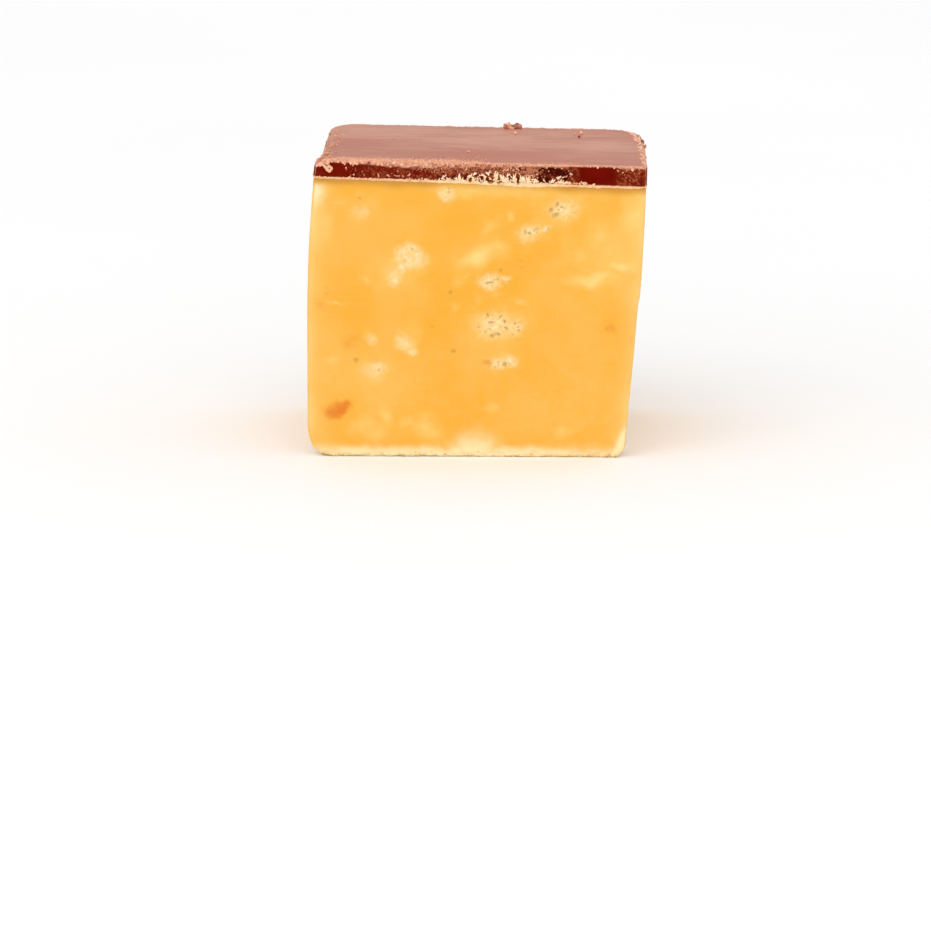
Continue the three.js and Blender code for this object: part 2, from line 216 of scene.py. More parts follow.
# Gaps and gouges in the front's cut wall, by place along it and depth below the top, sunk in and darkened
# with painted shade.
HOLLOWS = rows(Spot, (
    (8.5, 0.73, 3.7, 0.9, 5), (7.35, 1.42, 1.2, 1.1, -20), (0.8, 1.6, 2.3, 0.26, 24),
    (1.5, 1.8, 0.75, 0.6, 20), (2.4, 1.97, 0.65, 0.24, -38), (3.6, 1.4, 0.34, 0.7), (4.5, 1.72, 0.38, 0.85),
    (-1.2, 1.52, 0.5, 0.55, 20), (-2.6, 1.55, 0.6, 0.45, -30), (-4.1, 1.62, 0.3, 0.45),
    (4.7, 0.42, 0.55, 0.5, 0, 0.8), (6.85, 1.72, 0.4, 0.5), (-15.7, 0.3, 0.34, 0.26, 0, 0.75),
    (-0.6, 1.62, 0.4, 0.3), (5.9, 0.62, 0.9, 0.12, 30, 0.7), (9.6, 1.4, 0.5, 0.4),
))

# Where pale crumbs line the left and right shoulders of the top.
LEFT_LINE = (
    (-16.4, 8.2), (-15.7, 4.3), (-15.8, -0.2), (-16.3, -3.2), (-15.95, -6.1), (-16.2, -9.3),
    (-16.45, -13.2),
)
RIGHT_LINE = (
    (16.6, 12.5), (17.1, 11.0), (17.5, 6.6), (17.8, 0), (18.0, -6.5), (18.15, -12.2),
)
# The crumbs along each of these lines: their number, spread, largest size and tone.
SHOULDER_CRUMBS = ((LEFT_LINE, 105, 0.34, 0.6, 0.43), (RIGHT_LINE, 120, 0.16, 0.4, 0.72))
# The fudge that was dragged over the foot of the front's cut wall: how far it hangs down, how pale it is, and
# where the wall shows through it, with the width of each gap.
SMEAR_HANG = (
    (-17, 0.14), (-6, 0.2), (-4, 0.22), (0, 0.22), (2.5, 0.28), (4.5, 0.4), (6.5, 0.38), (8, 0.28),
    (10, 0.22), (17.6, 0.2), (18, 0.12),
)
SMEAR_TONE = (
    (-17, 0.24), (-6, 0.28), (-4, 0.5), (-1, 0.48), (1, 0.42), (6, 0.42), (9, 0.32), (11, 0.26), (18, 0.25),
)
SMEAR_NOTCHES = (
    (-0.65, 0.15), (0.5, 0.16), (1.5, 0.32), (2.42, 0.18), (4.5, 0.12),
)
# Torn shreds on the front's cut wall, of fudge and of crumbled chocolate.
FUDGE_SHREDS = rows(Shred, (
    (-1.77, 1.4, 0.85, 0.34, 10), (-0.69, 1.42, 0.95, 0.17, 78, -0.9, 1), (-0.1, 1.1, 0.6, 0.3, 45, 0, 1),
    (0.76, 1.28, 1.05, 0.26, -65), (2.1, 1.1, 0.85, 0.5, 12, 0.2), (2.75, 1.4, 0.8, 0.4, -20),
    (3.1, 1.72, 0.9, 0.3, 75), (4.05, 1.4, 0.9, 0.3, -5), (5.0, 1.6, 0.9, 0.4, 10, 0.2),
    (5.7, 1.75, 0.9, 0.34, -30), (6.4, 1.75, 0.6, 0.26, 20), (8.95, 1.25, 0.62, 0.26, 62, 0.3),
    (8.8, 1.42, 0.5, 0.2, -10), (8.2, 1.72, 0.66, 0.34, 25), (8.95, 1.82, 0.7, 0.26, 80),
    (9.7, 1.85, 0.6, 0.2, 60), (-2.2, 1.72, 0.7, 0.2, -40), (-3.0, 1.75, 0.6, 0.2, 60),
    (11.7, 1.95, 0.55, 0.22, 80, 0.3, 0.5), (12.6, 1.96, 0.5, 0.18, 85, 0.4, 0.45),
    (1.2, 1.0, 0.5, 0.3, -30, 0, 1), (3.4, 1.15, 0.5, 0.3, 30, 0, 1),
))
PINK_SHREDS = rows(Shred, (
    (-3.66, 1.52, 0.65, 0.13, 15, 0.3, 0.85), (-3.4, 1.35, 0.55, 0.13, 38, 0, 0.85),
    (1.5, 0.88, 0.55, 0.42, 20, 0, 0.85), (3.0, 0.72, 0.7, 0.13, 78, -0.8, 0.66),
    (4.45, 0.95, 1.0, 0.15, -55, 0.1, 0.75), (4.7, 0.22, 0.6, 0.12, 80, -0.5, 0.66),
    (-1.1, 0.55, 0.5, 0.2, 30, 0, 0.6), (10.2, 0.95, 0.5, 0.13, 60, 0.5, 0.5),
    (9.6, 1.25, 0.5, 0.36, 60, 0, 0.42), (-8.6, 1.35, 0.8, 0.13, 70, 0.6, 0.42),
    (-9.6, 1.5, 0.6, 0.13, -40, 0.6, 0.42), (-7.3, 1.35, 0.7, 0.13, 50, 0.5, 0.42),
    (-10.6, 1.45, 0.5, 0.13, 20, 0.5, 0.42),
))
# The flake that hangs over the left end of the front's cut wall: its two arms, and the ring of its knob.
FLAKE = rows(Shred, (
    (-16.55, 0.4, 0.8, 0.28, -49, 0, 0.64), (-16.25, 0.68, 0.6, 0.32, -45, 0, 0.6),
    (-16.0, 0.1, 0.8, 0.36, 20, 0, 0.56), (-15.87, 0.6, 0.5, 0.3, 85, 0, 0.6),
    (-15.64, 0.82, 0.5, 0.3, 5, 0, 0.64), (-15.85, 1.08, 0.48, 0.34, 85, 0, 0.62),
    (-16.07, 0.9, 0.5, 0.34, -25, 0, 0.6),
))
# Pale specks on the front's cut wall, placed one by one and then strewn between two ends and two depths.
WALL_SPECKS = rows(Speck, (
    (-14.05, 0.72, 0.26, 0.55), (-13.3, 0.4, 0.26, 0.6), (-13.2, 1.42, 0.22, 0.85),
    (13.08, 0.16, 0.24, 0.9), (14.86, 0.14, 0.26, 0.8), (15.25, 0.42, 0.24, 0.6), (15.8, 0.62, 0.22, 0.55),
    (16.85, 0.3, 0.4, 0.7), (16.2, 0.34, 0.2, 0.5), (7.9, 0.72, 0.22, 0.62), (10.15, 0.82, 0.3, 0.5),
    (9.9, 0.7, 0.2, 0.6), (8.5, 0.36, 0.22, 0.5), (9.2, 0.32, 0.24, 0.45), (7.6, 0.4, 0.2, 0.5),
    (-7.9, 1.5, 0.22, 0.6), (-7.2, 1.25, 0.2, 0.55),
))
STREWN_SPECKS = rows(Strewn, (
    (-12.5, -4.5, 0.6, 1.8, 0.22, 0.28, 0.46, 12), (15, 17.8, 0.3, 1.5, 0.18, 0.3, 0.5, 12),
    (5.2, 6.6, 0.95, 1.45, 0.24, 0.5, 0.85, 34), (2.8, 5.2, 0.3, 1.1, 0.24, 0.4, 0.68, 50),
    (-4.8, 2.8, 0.2, 1.0, 0.2, 0.4, 0.66, 60), (-6.5, -4.5, 0.4, 1.0, 0.18, 0.3, 0.5, 10),
))
# Crumbs on the top in small clusters, and the worn crumbs along its right edge.
TOP_CLUSTERS = rows(Cluster, (
    (3.2, 12.9, 0.74, 7, 0.2, 0.34), (4.0, 12.95, 0.74, 8, 0.2, 0.3), (3.55, 12.3, 0.3, 3, 0.1, 0.72),
    # The dark pair at 11.2 across, 7.0 along is a painted shadow of the pale crumb just behind it.
    (3.95, 8.4, 0.4, 3, 0.14, 0.7), (11.4, 9.3, 0.4, 2, 0.05, 0.74), (11.2, 7.0, 0.3, 2, 0.12, 0.2),
    (10.6, 9.0, 0.2, 2, 0.15, 0.7), (-9.5, 3.0, 0.13, 2, 0.3, 0.5), (-1.3, -5.4, 0.2, 3, 0.35, 0.7),
    (-1.9, -6.3, 0.14, 4, 0.8, 0.6), (8.3, -8.5, 0.12, 3, 1.2, 0.5),
))
RIGHT_EDGE_CRUMBS = rows(Cluster, (
    (18.0, 6.2, 0.4, 4, 0.12, 0.2), (18.15, 4.4, 0.36, 4, 0.12, 0.25), (18.25, 1.2, 0.3, 4, 0.12, 0.3),
    (17.6, 5.4, 0.42, 4, 0.12, 0.8), (17.7, 2.4, 0.36, 4, 0.12, 0.85), (17.5, 8.0, 0.3, 4, 0.12, 0.8),
    (17.85, -1.2, 0.34, 4, 0.12, 0.85), (17.8, 3.4, 0.3, 4, 0.12, 0.6),
))
# Where on the top the small hump of crumbs stands.
HUMP = (3.2, 12.75)

# How many crumbs of each other kind are strewn.
RIM_FLAKES = 110
HANGING_FLAKES = 12
CHUNKS = 420
LEFT_WALL_CHUNKS = 120
SEAM_CHUNKS = 46
HOLLOW_CHUNKS = 60
HUMP_HIGHLIGHT_CRUMBS = 4
TOP_DUST = 230
RIGHT_TOP_DUST = 110
TUFTS = 110
SMEAR_CRUMBS = 290
FUDGE_CRUMBS = 460

# Tints that the settings don't hold: of the fudge from its streaks to the shade under the chocolate, with its
# painted glows, of the chocolate from its crumbled wall to the painted shade in its hollows, of the crumbs
# from dark to light, and of the floor.
STREAK_TINT = (0.86, 0.50, 0.09)
SUGAR_TINT = (0.91, 0.64, 0.23)
EDGE_GLOW_TINT = (0.93, 0.64, 0.24)
DENSE_RING_TINT = (0.74, 0.42, 0.10)
WHITEST_CREAM_TINT = (0.97, 0.78, 0.53)
FOOT_GLOW_TINT = (0.96, 0.80, 0.48)
STAIN_TINT = (0.80, 0.33, 0.03)
SPECK_TINT = (0.46, 0.24, 0.03)
BUBBLE_SHADE_TINT = (0.42, 0.27, 0.10)
SHADED_TINT = (0.60, 0.275, 0.035)
CRUMBLED_TINT = (0.21, 0.030, 0.008)
LOW_SHEEN_SKIN_TINT = (0.455, 0.115, 0.058)
BLOTCH_TINT = (0.40, 0.15, 0.065)
EDGE_HIGHLIGHT_TINT = (0.88, 0.38, 0.24)
HOLLOW_SHADE_TINT = (0.055, 0.003, 0.001)
PALEST_CRUMB_TINT = (0.97, 0.72, 0.60)
PALEST_CHUNK_TINT = (0.52, 0.19, 0.10)
SMEAR_TINTS = ((0.76, 0.34, 0.15), (0.93, 0.67, 0.38), (0.98, 0.82, 0.66))
FUDGE_CRUMB_TINTS = ((0.85, 0.42, 0.05), (0.92, 0.60, 0.2), (0.96, 0.76, 0.4))
FLOOR_TINTS = ((0.93, 0.93, 0.93), (0.95, 0.95, 0.95))

# The colour sockets of a Mix node, by number.
MIX_FACTOR, MIX_A, MIX_B, MIX_RESULT = 0, 6, 7, 2

FLOOR_SIZE = 3
SKY_STRENGTH = 0.86
SUN_STRENGTH = 0.9
SUN_SPREAD = math.radians(70)
SUN_TURN = (math.radians(48), math.radians(-14), 0)
SOFTBOX_SIZE = 0.3
SOFTBOX_AIM = Vector((0, 0, 0.016))
SOFTBOXES = {"left_softbox": (0.10, (-0.35, -0.25, 0.25)), "right_softbox": (0.08, (0.35, -0.25, 0.22))}
CAMERA_TARGET = Vector((-0.777, -32.44, 3.25)) * MM


# ---------------------------------------------------------------- settings


def size_prop(name, description, default, **more):
    return FloatProperty(name=name, description=description, default=default, unit="LENGTH", **more)


def angle_prop(name, description, degrees):
    return FloatProperty(
        name=name, description=description, default=math.radians(degrees), subtype="ANGLE", unit="ROTATION",
    )


def colour_prop(name, description, *colour):
    return FloatVectorProperty(
        name=name, description=description, default=(*colour, 1), subtype="COLOR", size=4,
    )


def count_prop(name, description, default):
    return IntProperty(name=name, description=description, default=default, min=0)


class FudgeSettings(PropertyGroup):
    """Sizes and colours of the fudge."""

    base_width: size_prop("Base width", "Width of the block where it stands", 34.8 * MM, min=0.01)
    top_width: size_prop("Top width", "Width of the block under the chocolate", 35.75 * MM, min=0.01)
    depth: size_prop("Depth", "Depth of the block from its front to its back", 27.3 * MM, min=0.01)
    height: size_prop("Height", "Height of the fudge in the middle of the block", 30.48 * MM, min=0.01)
    drop: size_prop("Drop", "How much lower the fudge is at its right side", 1 * MM)
    lean: size_prop("Lean", "How far the top stands to the right of the base", 1.575 * MM)
    colour: colour_prop("Fudge", "Colour of the dense fudge", 0.845, 0.42, 0.047)
    cream: colour_prop("Cream", "Colour of the porous creamy spots", 0.88, 0.625, 0.275)
    pale: colour_prop("Pale patches", "Colour of the soft paler patches", 0.87, 0.56, 0.15)
    caramel: colour_prop("Caramel", "Colour of the brown flecks", 0.70, 0.16, 0.008)
    seed: count_prop("Seed", "Sets where the spots on the hidden sides fall", 4)


class ChocolateSettings(PropertyGroup):
    """Sizes and colours of the chocolate layer and of what broke off it."""

    height: size_prop("Top height", "Height of the top of the chocolate in the middle", 32.42 * MM, min=0.01)
    drop: size_prop("Drop", "How much lower the top is at its right side", 0.62 * MM)
    proud: size_prop("Proud", "How far the cut wall of the chocolate stands out from the fudge", 0.08 * MM)
    colour: colour_prop("Chocolate", "Colour of the smooth chocolate", 0.152, 0.004, 0.0012)
    # The top's colour runs from skin to bloom as its painted sheen grows.
    skin: colour_prop("Top skin", "Colour of the smooth top where it has least bloom", 0.44, 0.145, 0.085)
    bloom_and_sheen: colour_prop("Bloom", "Colour of the smooth top where it has most bloom", 0.585, 0.262, 0.178)
    broken: colour_prop("Broken chocolate", "Colour of crumbled chocolate", 0.40, 0.11, 0.042)
    crumb: colour_prop("Crumbs", "Colour of the fine pale crumbs on the rim", 0.88, 0.45, 0.28)
    rim_crumbs: count_prop("Rim crumbs", "Number of crumbs tried on the rim", 4200)
    curls: count_prop("Curls", "Number of shavings along the side edges", 36)
    seed: count_prop("Seed", "Sets where the crumbs and shavings fall", 11)


class StudioSettings(PropertyGroup):
    """The camera and the light."""

    distance: size_prop("Camera distance", "From the camera to the point that it looks at", 0.4968, min=0.05)
    pitch: angle_prop("Camera pitch", "How far down the camera looks", 12.5)
    turn: angle_prop("Camera turn", "How far the camera is turned to the left of the block's own depth", 1.2)
    lens: FloatProperty(name="Lens", description="Focal length in millimetres", default=182.6, min=10)
    key: FloatProperty(name="Key light", description="Strength of the soft light above", default=1.0, min=0)


# ---------------------------------------------------------------- shape of the block


def lerp(a, b, share):
    return a + (b - a) * share


def clamp(value, low=0.0, high=1.0):
    return max(low, min(high, value))


def smoothstep(value, low, high):
    share = clamp((value - low) / (high - low))
    return share * share * (3 - 2 * share)


def in_span(value, start, end, soft):
    return smoothstep(value, start - soft, start + soft) * (1 - smoothstep(value, end - soft, end + soft))


def hill(value, middle, width):
    """A bell curve: 1 in its middle."""
    return math.exp(-(((value - middle) / width) ** 2))


def profile(points, x):
    """The value at x on straight lines between points."""
    for (x0, low), (x1, high) in zip(points, points[1:]):
        if x <= x1:
            return lerp(low, high, clamp((x - x0) / (x1 - x0)))
    return points[-1][1]


def edge_inset(distance, rise, inset):
    """How far a rounded edge draws in, at a distance from the edge."""
    return inset * (1 - math.sqrt(1 - (1 - clamp(distance / rise)) ** 2))


def drawn_in(walls, distance, rises, insets):
    left, right, front, back = (edge_inset(distance, r, i) for r, i in zip(rises, insets))
    return Walls(walls.left + left, walls.right - right, walls.front + front, walls.back - back)


class Block:
    """Where the four cut faces and the two layers lie, worked out from the settings and the CAD's own box."""

    def __init__(self):
        scene = bpy.context.scene
        self.fudge, self.chocolate = scene.fudge_cube, scene.fudge_chocolate
        self.shift = Vector((0, 0))
        levels = [self.fudge.height * i / BOX_LEVELS for i in range(BOX_LEVELS + 1)]
        spans = [drawn_in(self.walls(level), level, BASE_EDGE_RISE, BASE_EDGE_INSET) for level in levels]
        low, high = FUDGE_BOX
        left, right = min(w.left for w in spans), max(w.right for w in spans)
        front, back = min(w.front for w in spans), max(w.back for w in spans)
        self.shift = Vector(((low.x + high.x - left - right) / 2, (low.y + high.y - front - back) / 2))

    def walls(self, height):
        fudge = self.fudge
        rise = height / self.chocolate.height
        swell = math.sin(math.pi * clamp(rise) ** SWELL_BIAS)
        half = lerp(fudge.base_width, fudge.top_width, rise) / 2
        under = 1 - smoothstep(height, KNIFE_STEP_HEIGHT - KNIFE_STEP_RUN, KNIFE_STEP_HEIGHT)
        step = KNIFE_STEP_DROP * under
        return Walls(
            self.shift.x - half + fudge.lean * rise - SWELL.left * swell,
            self.shift.x + half + fudge.lean * rise + SWELL.right * swell - step,
            self.shift.y - fudge.depth / 2 - SWELL.front * swell,
            self.shift.y + fudge.depth / 2 + SWELL.back * swell,
        )

    def top_walls(self):
        return self.walls(self.chocolate.height)

    def beside(self, place, height):
        """The cut faces beside a place on the outline: the left one steps in behind the front."""
        walls = self.walls(height)
        step = TAPER_INSET * smoothstep((place.along + 1) / 2, 0, TAPER_OVER)
        return walls._replace(left=walls.left + step)

    def sloped(self, height, x):
        """The real height of a level at a place across: both layers slope down to the right."""
        fudge, chocolate = self.fudge, self.chocolate
        fudge_drop = fudge.drop * min(1, height / fudge.height)
        share = max(0, (height - fudge.height) / (chocolate.height - fudge.height))
        return height - lerp(fudge_drop, chocolate.drop, share) * (x - self.shift.x) / fudge.top_width

    def place(self, turn):
        """A place on the plan outline, from 0 to 1 round it from the right side, and the way it faces."""
        x = self.fudge.top_width / 2 - PLAN_RADIUS
        y = self.fudge.depth / 2 - PLAN_RADIUS
        arc = PLAN_RADIUS * math.pi / 2
        walk = turn * 4 * (arc + x + y)
        signs = [(1, 1), (-1, 1), (-1, -1), (1, -1)]
        for index, (sx, sy) in enumerate(signs):
            if walk <= arc:
                return Place(sx, sy, quarter(index + walk / arc))
            walk -= arc
            next_x, next_y = signs[(index + 1) % 4]
            side = abs(sx - next_x) * x + abs(sy - next_y) * y
            if walk <= side:
                return Place(lerp(sx, next_x, walk / side), lerp(sy, next_y, walk / side), quarter(index + 1))
            walk -= side
        return Place(1, 1, quarter(0))

    def half(self, name):
        """Half the length of a face."""
        return (self.fudge.top_width if name in ("front", "back") else self.fudge.depth) / 2

    def middle(self, name):
        """Where the middle of a face's upper edge lies along it."""
        walls = self.top_walls()
        middle = Vector(((walls.left + walls.right) / 2, (walls.front + walls.back) / 2, 0))
        return middle.dot(FACES[name][0])

    def rim(self, name, along, depth, inset=0.0):
        """A point at the chocolate's cut wall on a face, at a depth below the top."""
        axis, out = FACES[name]
        walls = self.top_walls()
        reach = {"front": -walls.front, "back": walls.back, "left": -walls.left, "right": walls.right}
        point = axis * along + out * (reach[name] + self.chocolate.proud - inset)
        point.z = self.sloped(self.chocolate.height, point.x) - depth
        return point


def quarter(turns):
    """The level direction that many quarter turns from the right."""
    turned = turns * math.pi / 2
    return Vector((math.cos(turned), math.sin(turned)))


def mix_corners(corners, place):
    across, along = (place.across + 1) / 2, (place.along + 1) / 2
    front = lerp(corners.front_left, corners.front_right, across)
    back = lerp(corners.back_left, corners.back_right, across)
    return lerp(front, back, along)


def on_walls(walls, radius, place):
    across, along = (place.across + 1) / 2, (place.along + 1) / 2
    return Vector((
        lerp(walls.left + radius, walls.right - radius, across) + radius * place.out.x,
        lerp(walls.front + radius, walls.back - radius, along) + radius * place.out.y,
    ))


def ringed_skin(bm, block, segments, rings, wall_point):
    """Shape a sphere's rows into rings: from the top's middle, down the walls, to the base's middle."""
    last = len(rings) - 1
    bmesh.ops.create_uvsphere(bm, u_segments=segments, v_segments=last, radius=1)
    places = [block.place(i / segments) for i in range(segments)]
    for vert in bm.verts:
        ring = rings[round(math.acos(clamp(vert.co.z, -1, 1)) / math.pi * last)]
        step = round(math.atan2(vert.co.y, vert.co.x) / math.tau * segments) % segments
        walls = block.walls(ring.height)
        middle = Vector(((walls.left + walls.right) / 2, block.shift.y))
        point = middle + (wall_point(places[step], ring.height) - middle) * ring.reach
        vert.co = (point.x, point.y, block.sloped(ring.height, point.x))
    bm.normal_update()


def facing(vert):
    """The upright face that a point belongs to, how far along it lies, and how upright it is."""
    normal = vert.normal
    name = max(FACES, key=lambda face: normal.dot(FACES[face][1]))
    along, out = FACES[name]
    return name, vert.co.dot(along), normal.dot(out)


def wobble(point, length, seed=0.0):
    """Smooth noise from -1 to 1 whose lumps are about the given length."""
    return noise.noise(point / length + Vector((seed, seed * 1.7, -seed)))


def ruffle(point, length):
    """Broken noise from about -1 to 1."""
    return noise.turbulence(point / length, 4, False, amplitude_scale=0.6, frequency_scale=2.1)


def face_noise(name, x, length, seed):
    """Smooth noise along a face, its lumps about the given length, both in millimetres."""
    return noise.noise(Vector((x / length, FACE_SEEDS[name], seed)))


def strayed(point, coarse, fine):
    """The place pushed about by noise, so that outlines looked up there come out ragged."""
    broad, narrow = noise.noise_vector(point / (2.2 * MM)), noise.noise_vector(point / (0.6 * MM))
    return point + broad * coarse + narrow * fine


def spot_field(spots, along, height):
    """A full spot gives 1 in its middle, 0.5 on its outline and 0 at twice its size, a faint one less."""
    best = 0.0
    for spot in spots:
        x = along - spot.along * MM
        z = height - spot.height * MM
        reach = max(spot.width, spot.tall) * MM
        if abs(x) > reach or abs(z) > reach:
            continue
        cosine, sine = math.cos(math.radians(spot.tilt)), math.sin(math.radians(spot.tilt))
        u = (x * cosine + z * sine) / (spot.width * MM / 2)
        v = (z * cosine - x * sine) / (spot.tall * MM / 2)
        best = max(best, spot.strength * (1 - math.hypot(u, v) / 2))
    return best


def mark_and_move(bm, names, look):
    """Ask for every point's move and marks, and give them to it. No point sinks below the floor."""
    layers = [bm.verts.layers.float.new(name) for name in names]
    moves = []
    for vert in bm.verts:
        found = look(vert)
        if found is None:
            continue
        move, marks = found
        moves.append((vert, move))
        for layer, name in zip(layers, names):
            vert[layer] = marks[name]
    for vert, move in moves:
        vert.co += move
        vert.co.z = max(0.0, vert.co.z)


# ---------------------------------------------------------------- fudge


def chance_spots(rng, half, top, number, width, tall, upright=False, strength=(0.45, 0.9)):
    """Spots strewn over a face, in millimetres, drawn out level or upright."""
    made = []
    for _ in range(number):
        size = rng.uniform(0.6, 1.5)
        made.append(Spot(
            rng.uniform(-half, half), rng.uniform(1.5, top),
            width * size, tall * size * rng.uniform(0.7, 1.3),
            rng.gauss(90 if upright else 8, 20), rng.uniform(*strength),
        ))
    return made


def chance_pores(rng, porous, crowding, strength):
    """Small open bubbles crowded into porous spots."""
    made = []
    for spot in porous:
        for _ in range(round(spot.width * spot.tall * crowding)):
            reach, turned = math.sqrt(rng.random()) * 0.42, rng.uniform(0, math.tau)
            along = spot.along + math.cos(turned) * reach * spot.width
            height = spot.height + math.sin(turned) * reach * spot.tall
            made.append(Spot(
                along, height, rng.uniform(0.18, 0.5), rng.uniform(0.14, 0.28), rng.uniform(0, 180),
                rng.uniform(*strength),
            ))
    return made


def spots_by_face(fudge):
    """Every face's spots. The front's are placed, the others strewn."""
    rng = random.Random(fudge.seed)
    top = fudge.height / MM - 2
    fine = chance_pores(rng, POROUS, 1.3, (0.5, 0.8))
    spots = {"front": Spots(POROUS + CREAMY, PALE, BROWN, SPECKS, BUBBLES + fine)}
    for name, half in (("right", 12.3), ("back", 16.3), ("left", 12.3)):
        upright = name != "back"
        porous = chance_spots(rng, half, top, 6, 2.0, 1.5, False, (0.8, 1.0))
        porous += [
            spot._replace(along=spot.along + rng.gauss(0, 1), height=spot.height + rng.gauss(0, 0.6),
                          width=spot.width * 0.6, tall=spot.tall * 0.6, strength=0.8)
            for spot in porous
        ]
        pale = chance_spots(rng, half, top, 34, 3.0 if upright else 2.4, 1.1, upright)
        pale += chance_spots(rng, half, top, 4, 7.0, 5.0, upright, (0.35, 0.5))
        brown = chance_spots(rng, half, top, 6, 1.2, 0.8, False, (0.35, 0.6))
        brown += chance_spots(rng, half, top, 1, 1.6, 0.8, False, (0.9, 0.95))
        specks = chance_spots(rng, half, top, 9, 0.45, 0.35, False, (0.6, 1.0))
        spots[name] = Spots(porous, pale, brown, specks, chance_pores(rng, porous, 2.6, (0.5, 1.0)))
    return spots


def fudge_wall(block):
    def wall_point(place, height):
        walls = drawn_in(block.beside(place, height), height, BASE_EDGE_RISE, BASE_EDGE_INSET)
        radius = mix_corners(CORNER, place) + edge_inset(height, BASE_CORNER_RISE, BASE_CORNER_RADIUS)
        return on_walls(walls, radius, place)
    return wall_point


def fudge_rings(fudge):
    foot, rows_up, rows_round = 1.0 * MM, 96, 9
    walls = [lerp(fudge.height, foot, i / rows_up) for i in range(rows_up + 1)]
    base = [foot * (1 - math.sin(i / rows_round * math.pi / 2)) for i in range(1, rows_round + 1)]
    rings = [Ring(fudge.height, reach) for reach in (0, 0.6, 0.93, 0.985)]
    rings += [Ring(height, 1) for height in walls + base]
    return rings + [Ring(0, reach) for reach in (0.97, 0.6, 0)]


def refine(bm, wanted, cuts):
    """Split the edges whose two ends both need more detail."""
    flagged = {vert for vert in bm.verts if wanted(vert)}
    edges = [edge for edge in bm.edges if edge.verts[0] in flagged and edge.verts[1] in flagged]
    bmesh.ops.subdivide_edges(bm, edges=edges, cuts=cuts, use_grid_fill=True)
    bm.normal_update()


def edge_glow(block, name, along, point):
    """Where light comes through the thin upright edges of the block and the fudge looks paler."""
    walls = block.walls(point.z)
    low, high = (walls.left, walls.right) if name in ("front", "back") else (walls.front, walls.back)
    if name in ("back", "left"):
        low, high = -high, -low
    drift = 0.7 * MM * wobble(point, 4 * MM, 9)
    from_left, from_right = along - low + drift, high - along + drift
    left_glow = 0.95 * math.exp(-max(from_left, 0) / (1.2 * MM))
    right_glow = 0.85 * math.exp(-max(from_right, 0) / (0.9 * MM))
    return 0.9 * min(1.0, max(left_glow, right_glow))


def foot_glow(name, along, point):
    """A creamy band of painted light along the foot, and on the front the painted glow that rises from it and
    the pale corner.
    """
    band = 1 - smoothstep(point.z + 0.35 * MM * wobble(point, 1.3 * MM, 2), 0.1 * MM, 2.0 * MM)
    if name != "front":
        return 0.8 * band
    loose = strayed(point, 0.6 * MM, 0.3 * MM)
    smear = smoothstep(spot_field(FOOT_GLOW, loose.x, loose.z), 0.2, 1.12)
    corner = 0.75 * smoothstep(spot_field(PALE_CORNER, loose.x, loose.z), 0.1, 0.9)
    band *= 1 - 0.25 * smoothstep(along / MM, 4, 12)
    return max(band, smear, corner)


def corner_fold(name, along, height):
    """The fold beside the front's lower right corner: its raised lip and the groove beside it."""
    if name != "front":
        return 0.0, 0.0
    crease = lerp(14.5, 16.2, height / (4.4 * MM)) * MM
    fade = 1 - smoothstep(height, 2.6 * MM, 4.6 * MM)
    lip = hill(along - crease, 0.7 * MM, 0.6 * MM)
    groove = hill(along, crease, 0.14 * MM)
    return min(1, fade * lip * 1.2), fade * groove


def under_chocolate(block, name, along, point):
    """How much the chocolate shades the fudge: 1 right under it, less where fudge was dragged up over it."""
    below = block.sloped(block.fudge.height, point.x) - point.z + 0.25 * MM * wobble(point, 2.5 * MM, 4)
    shade = 1 - smoothstep(below, 0.2 * MM, 1.25 * MM)
    if name == "front":
        shade *= 1 - 0.48 * in_span(along / MM, -3.4, 8.6, 1.8)
    return shade


def fudge_relief(point, marks, fold, groove):
    """How far the cut fudge stands out at a point: waves, drag lines, a torn foot, and its spots sunk in."""
    relief = SWAY.depth * wobble(point, SWAY.length, SWAY.seed)
    dragged = Vector((point.x * DRAG_STRETCH, point.y * DRAG_STRETCH, point.z))
    relief += DRAG_LINES.depth * wobble(dragged, DRAG_LINES.length, DRAG_LINES.seed)
    at_foot = 1 - smoothstep(point.z, 0.3 * MM, 1.1 * MM)
    relief += at_foot * FOOT_TEAR * (ruffle(point, 0.9 * MM) - 0.75)
    coarse = CREAM_GRAIN.depth * abs(wobble(point, CREAM_GRAIN.length, CREAM_GRAIN.seed))
    relief -= smoothstep(marks["cream"], 0.42, 0.62) * (CREAM_SINK + coarse)
    relief -= marks["pit"] * PIT_DEPTH + smoothstep(marks["speck"], 0.4, 0.8) * SPECK_DEPTH
    return relief + (fold * FOLD_HEIGHT - groove * FOLD_HEIGHT)


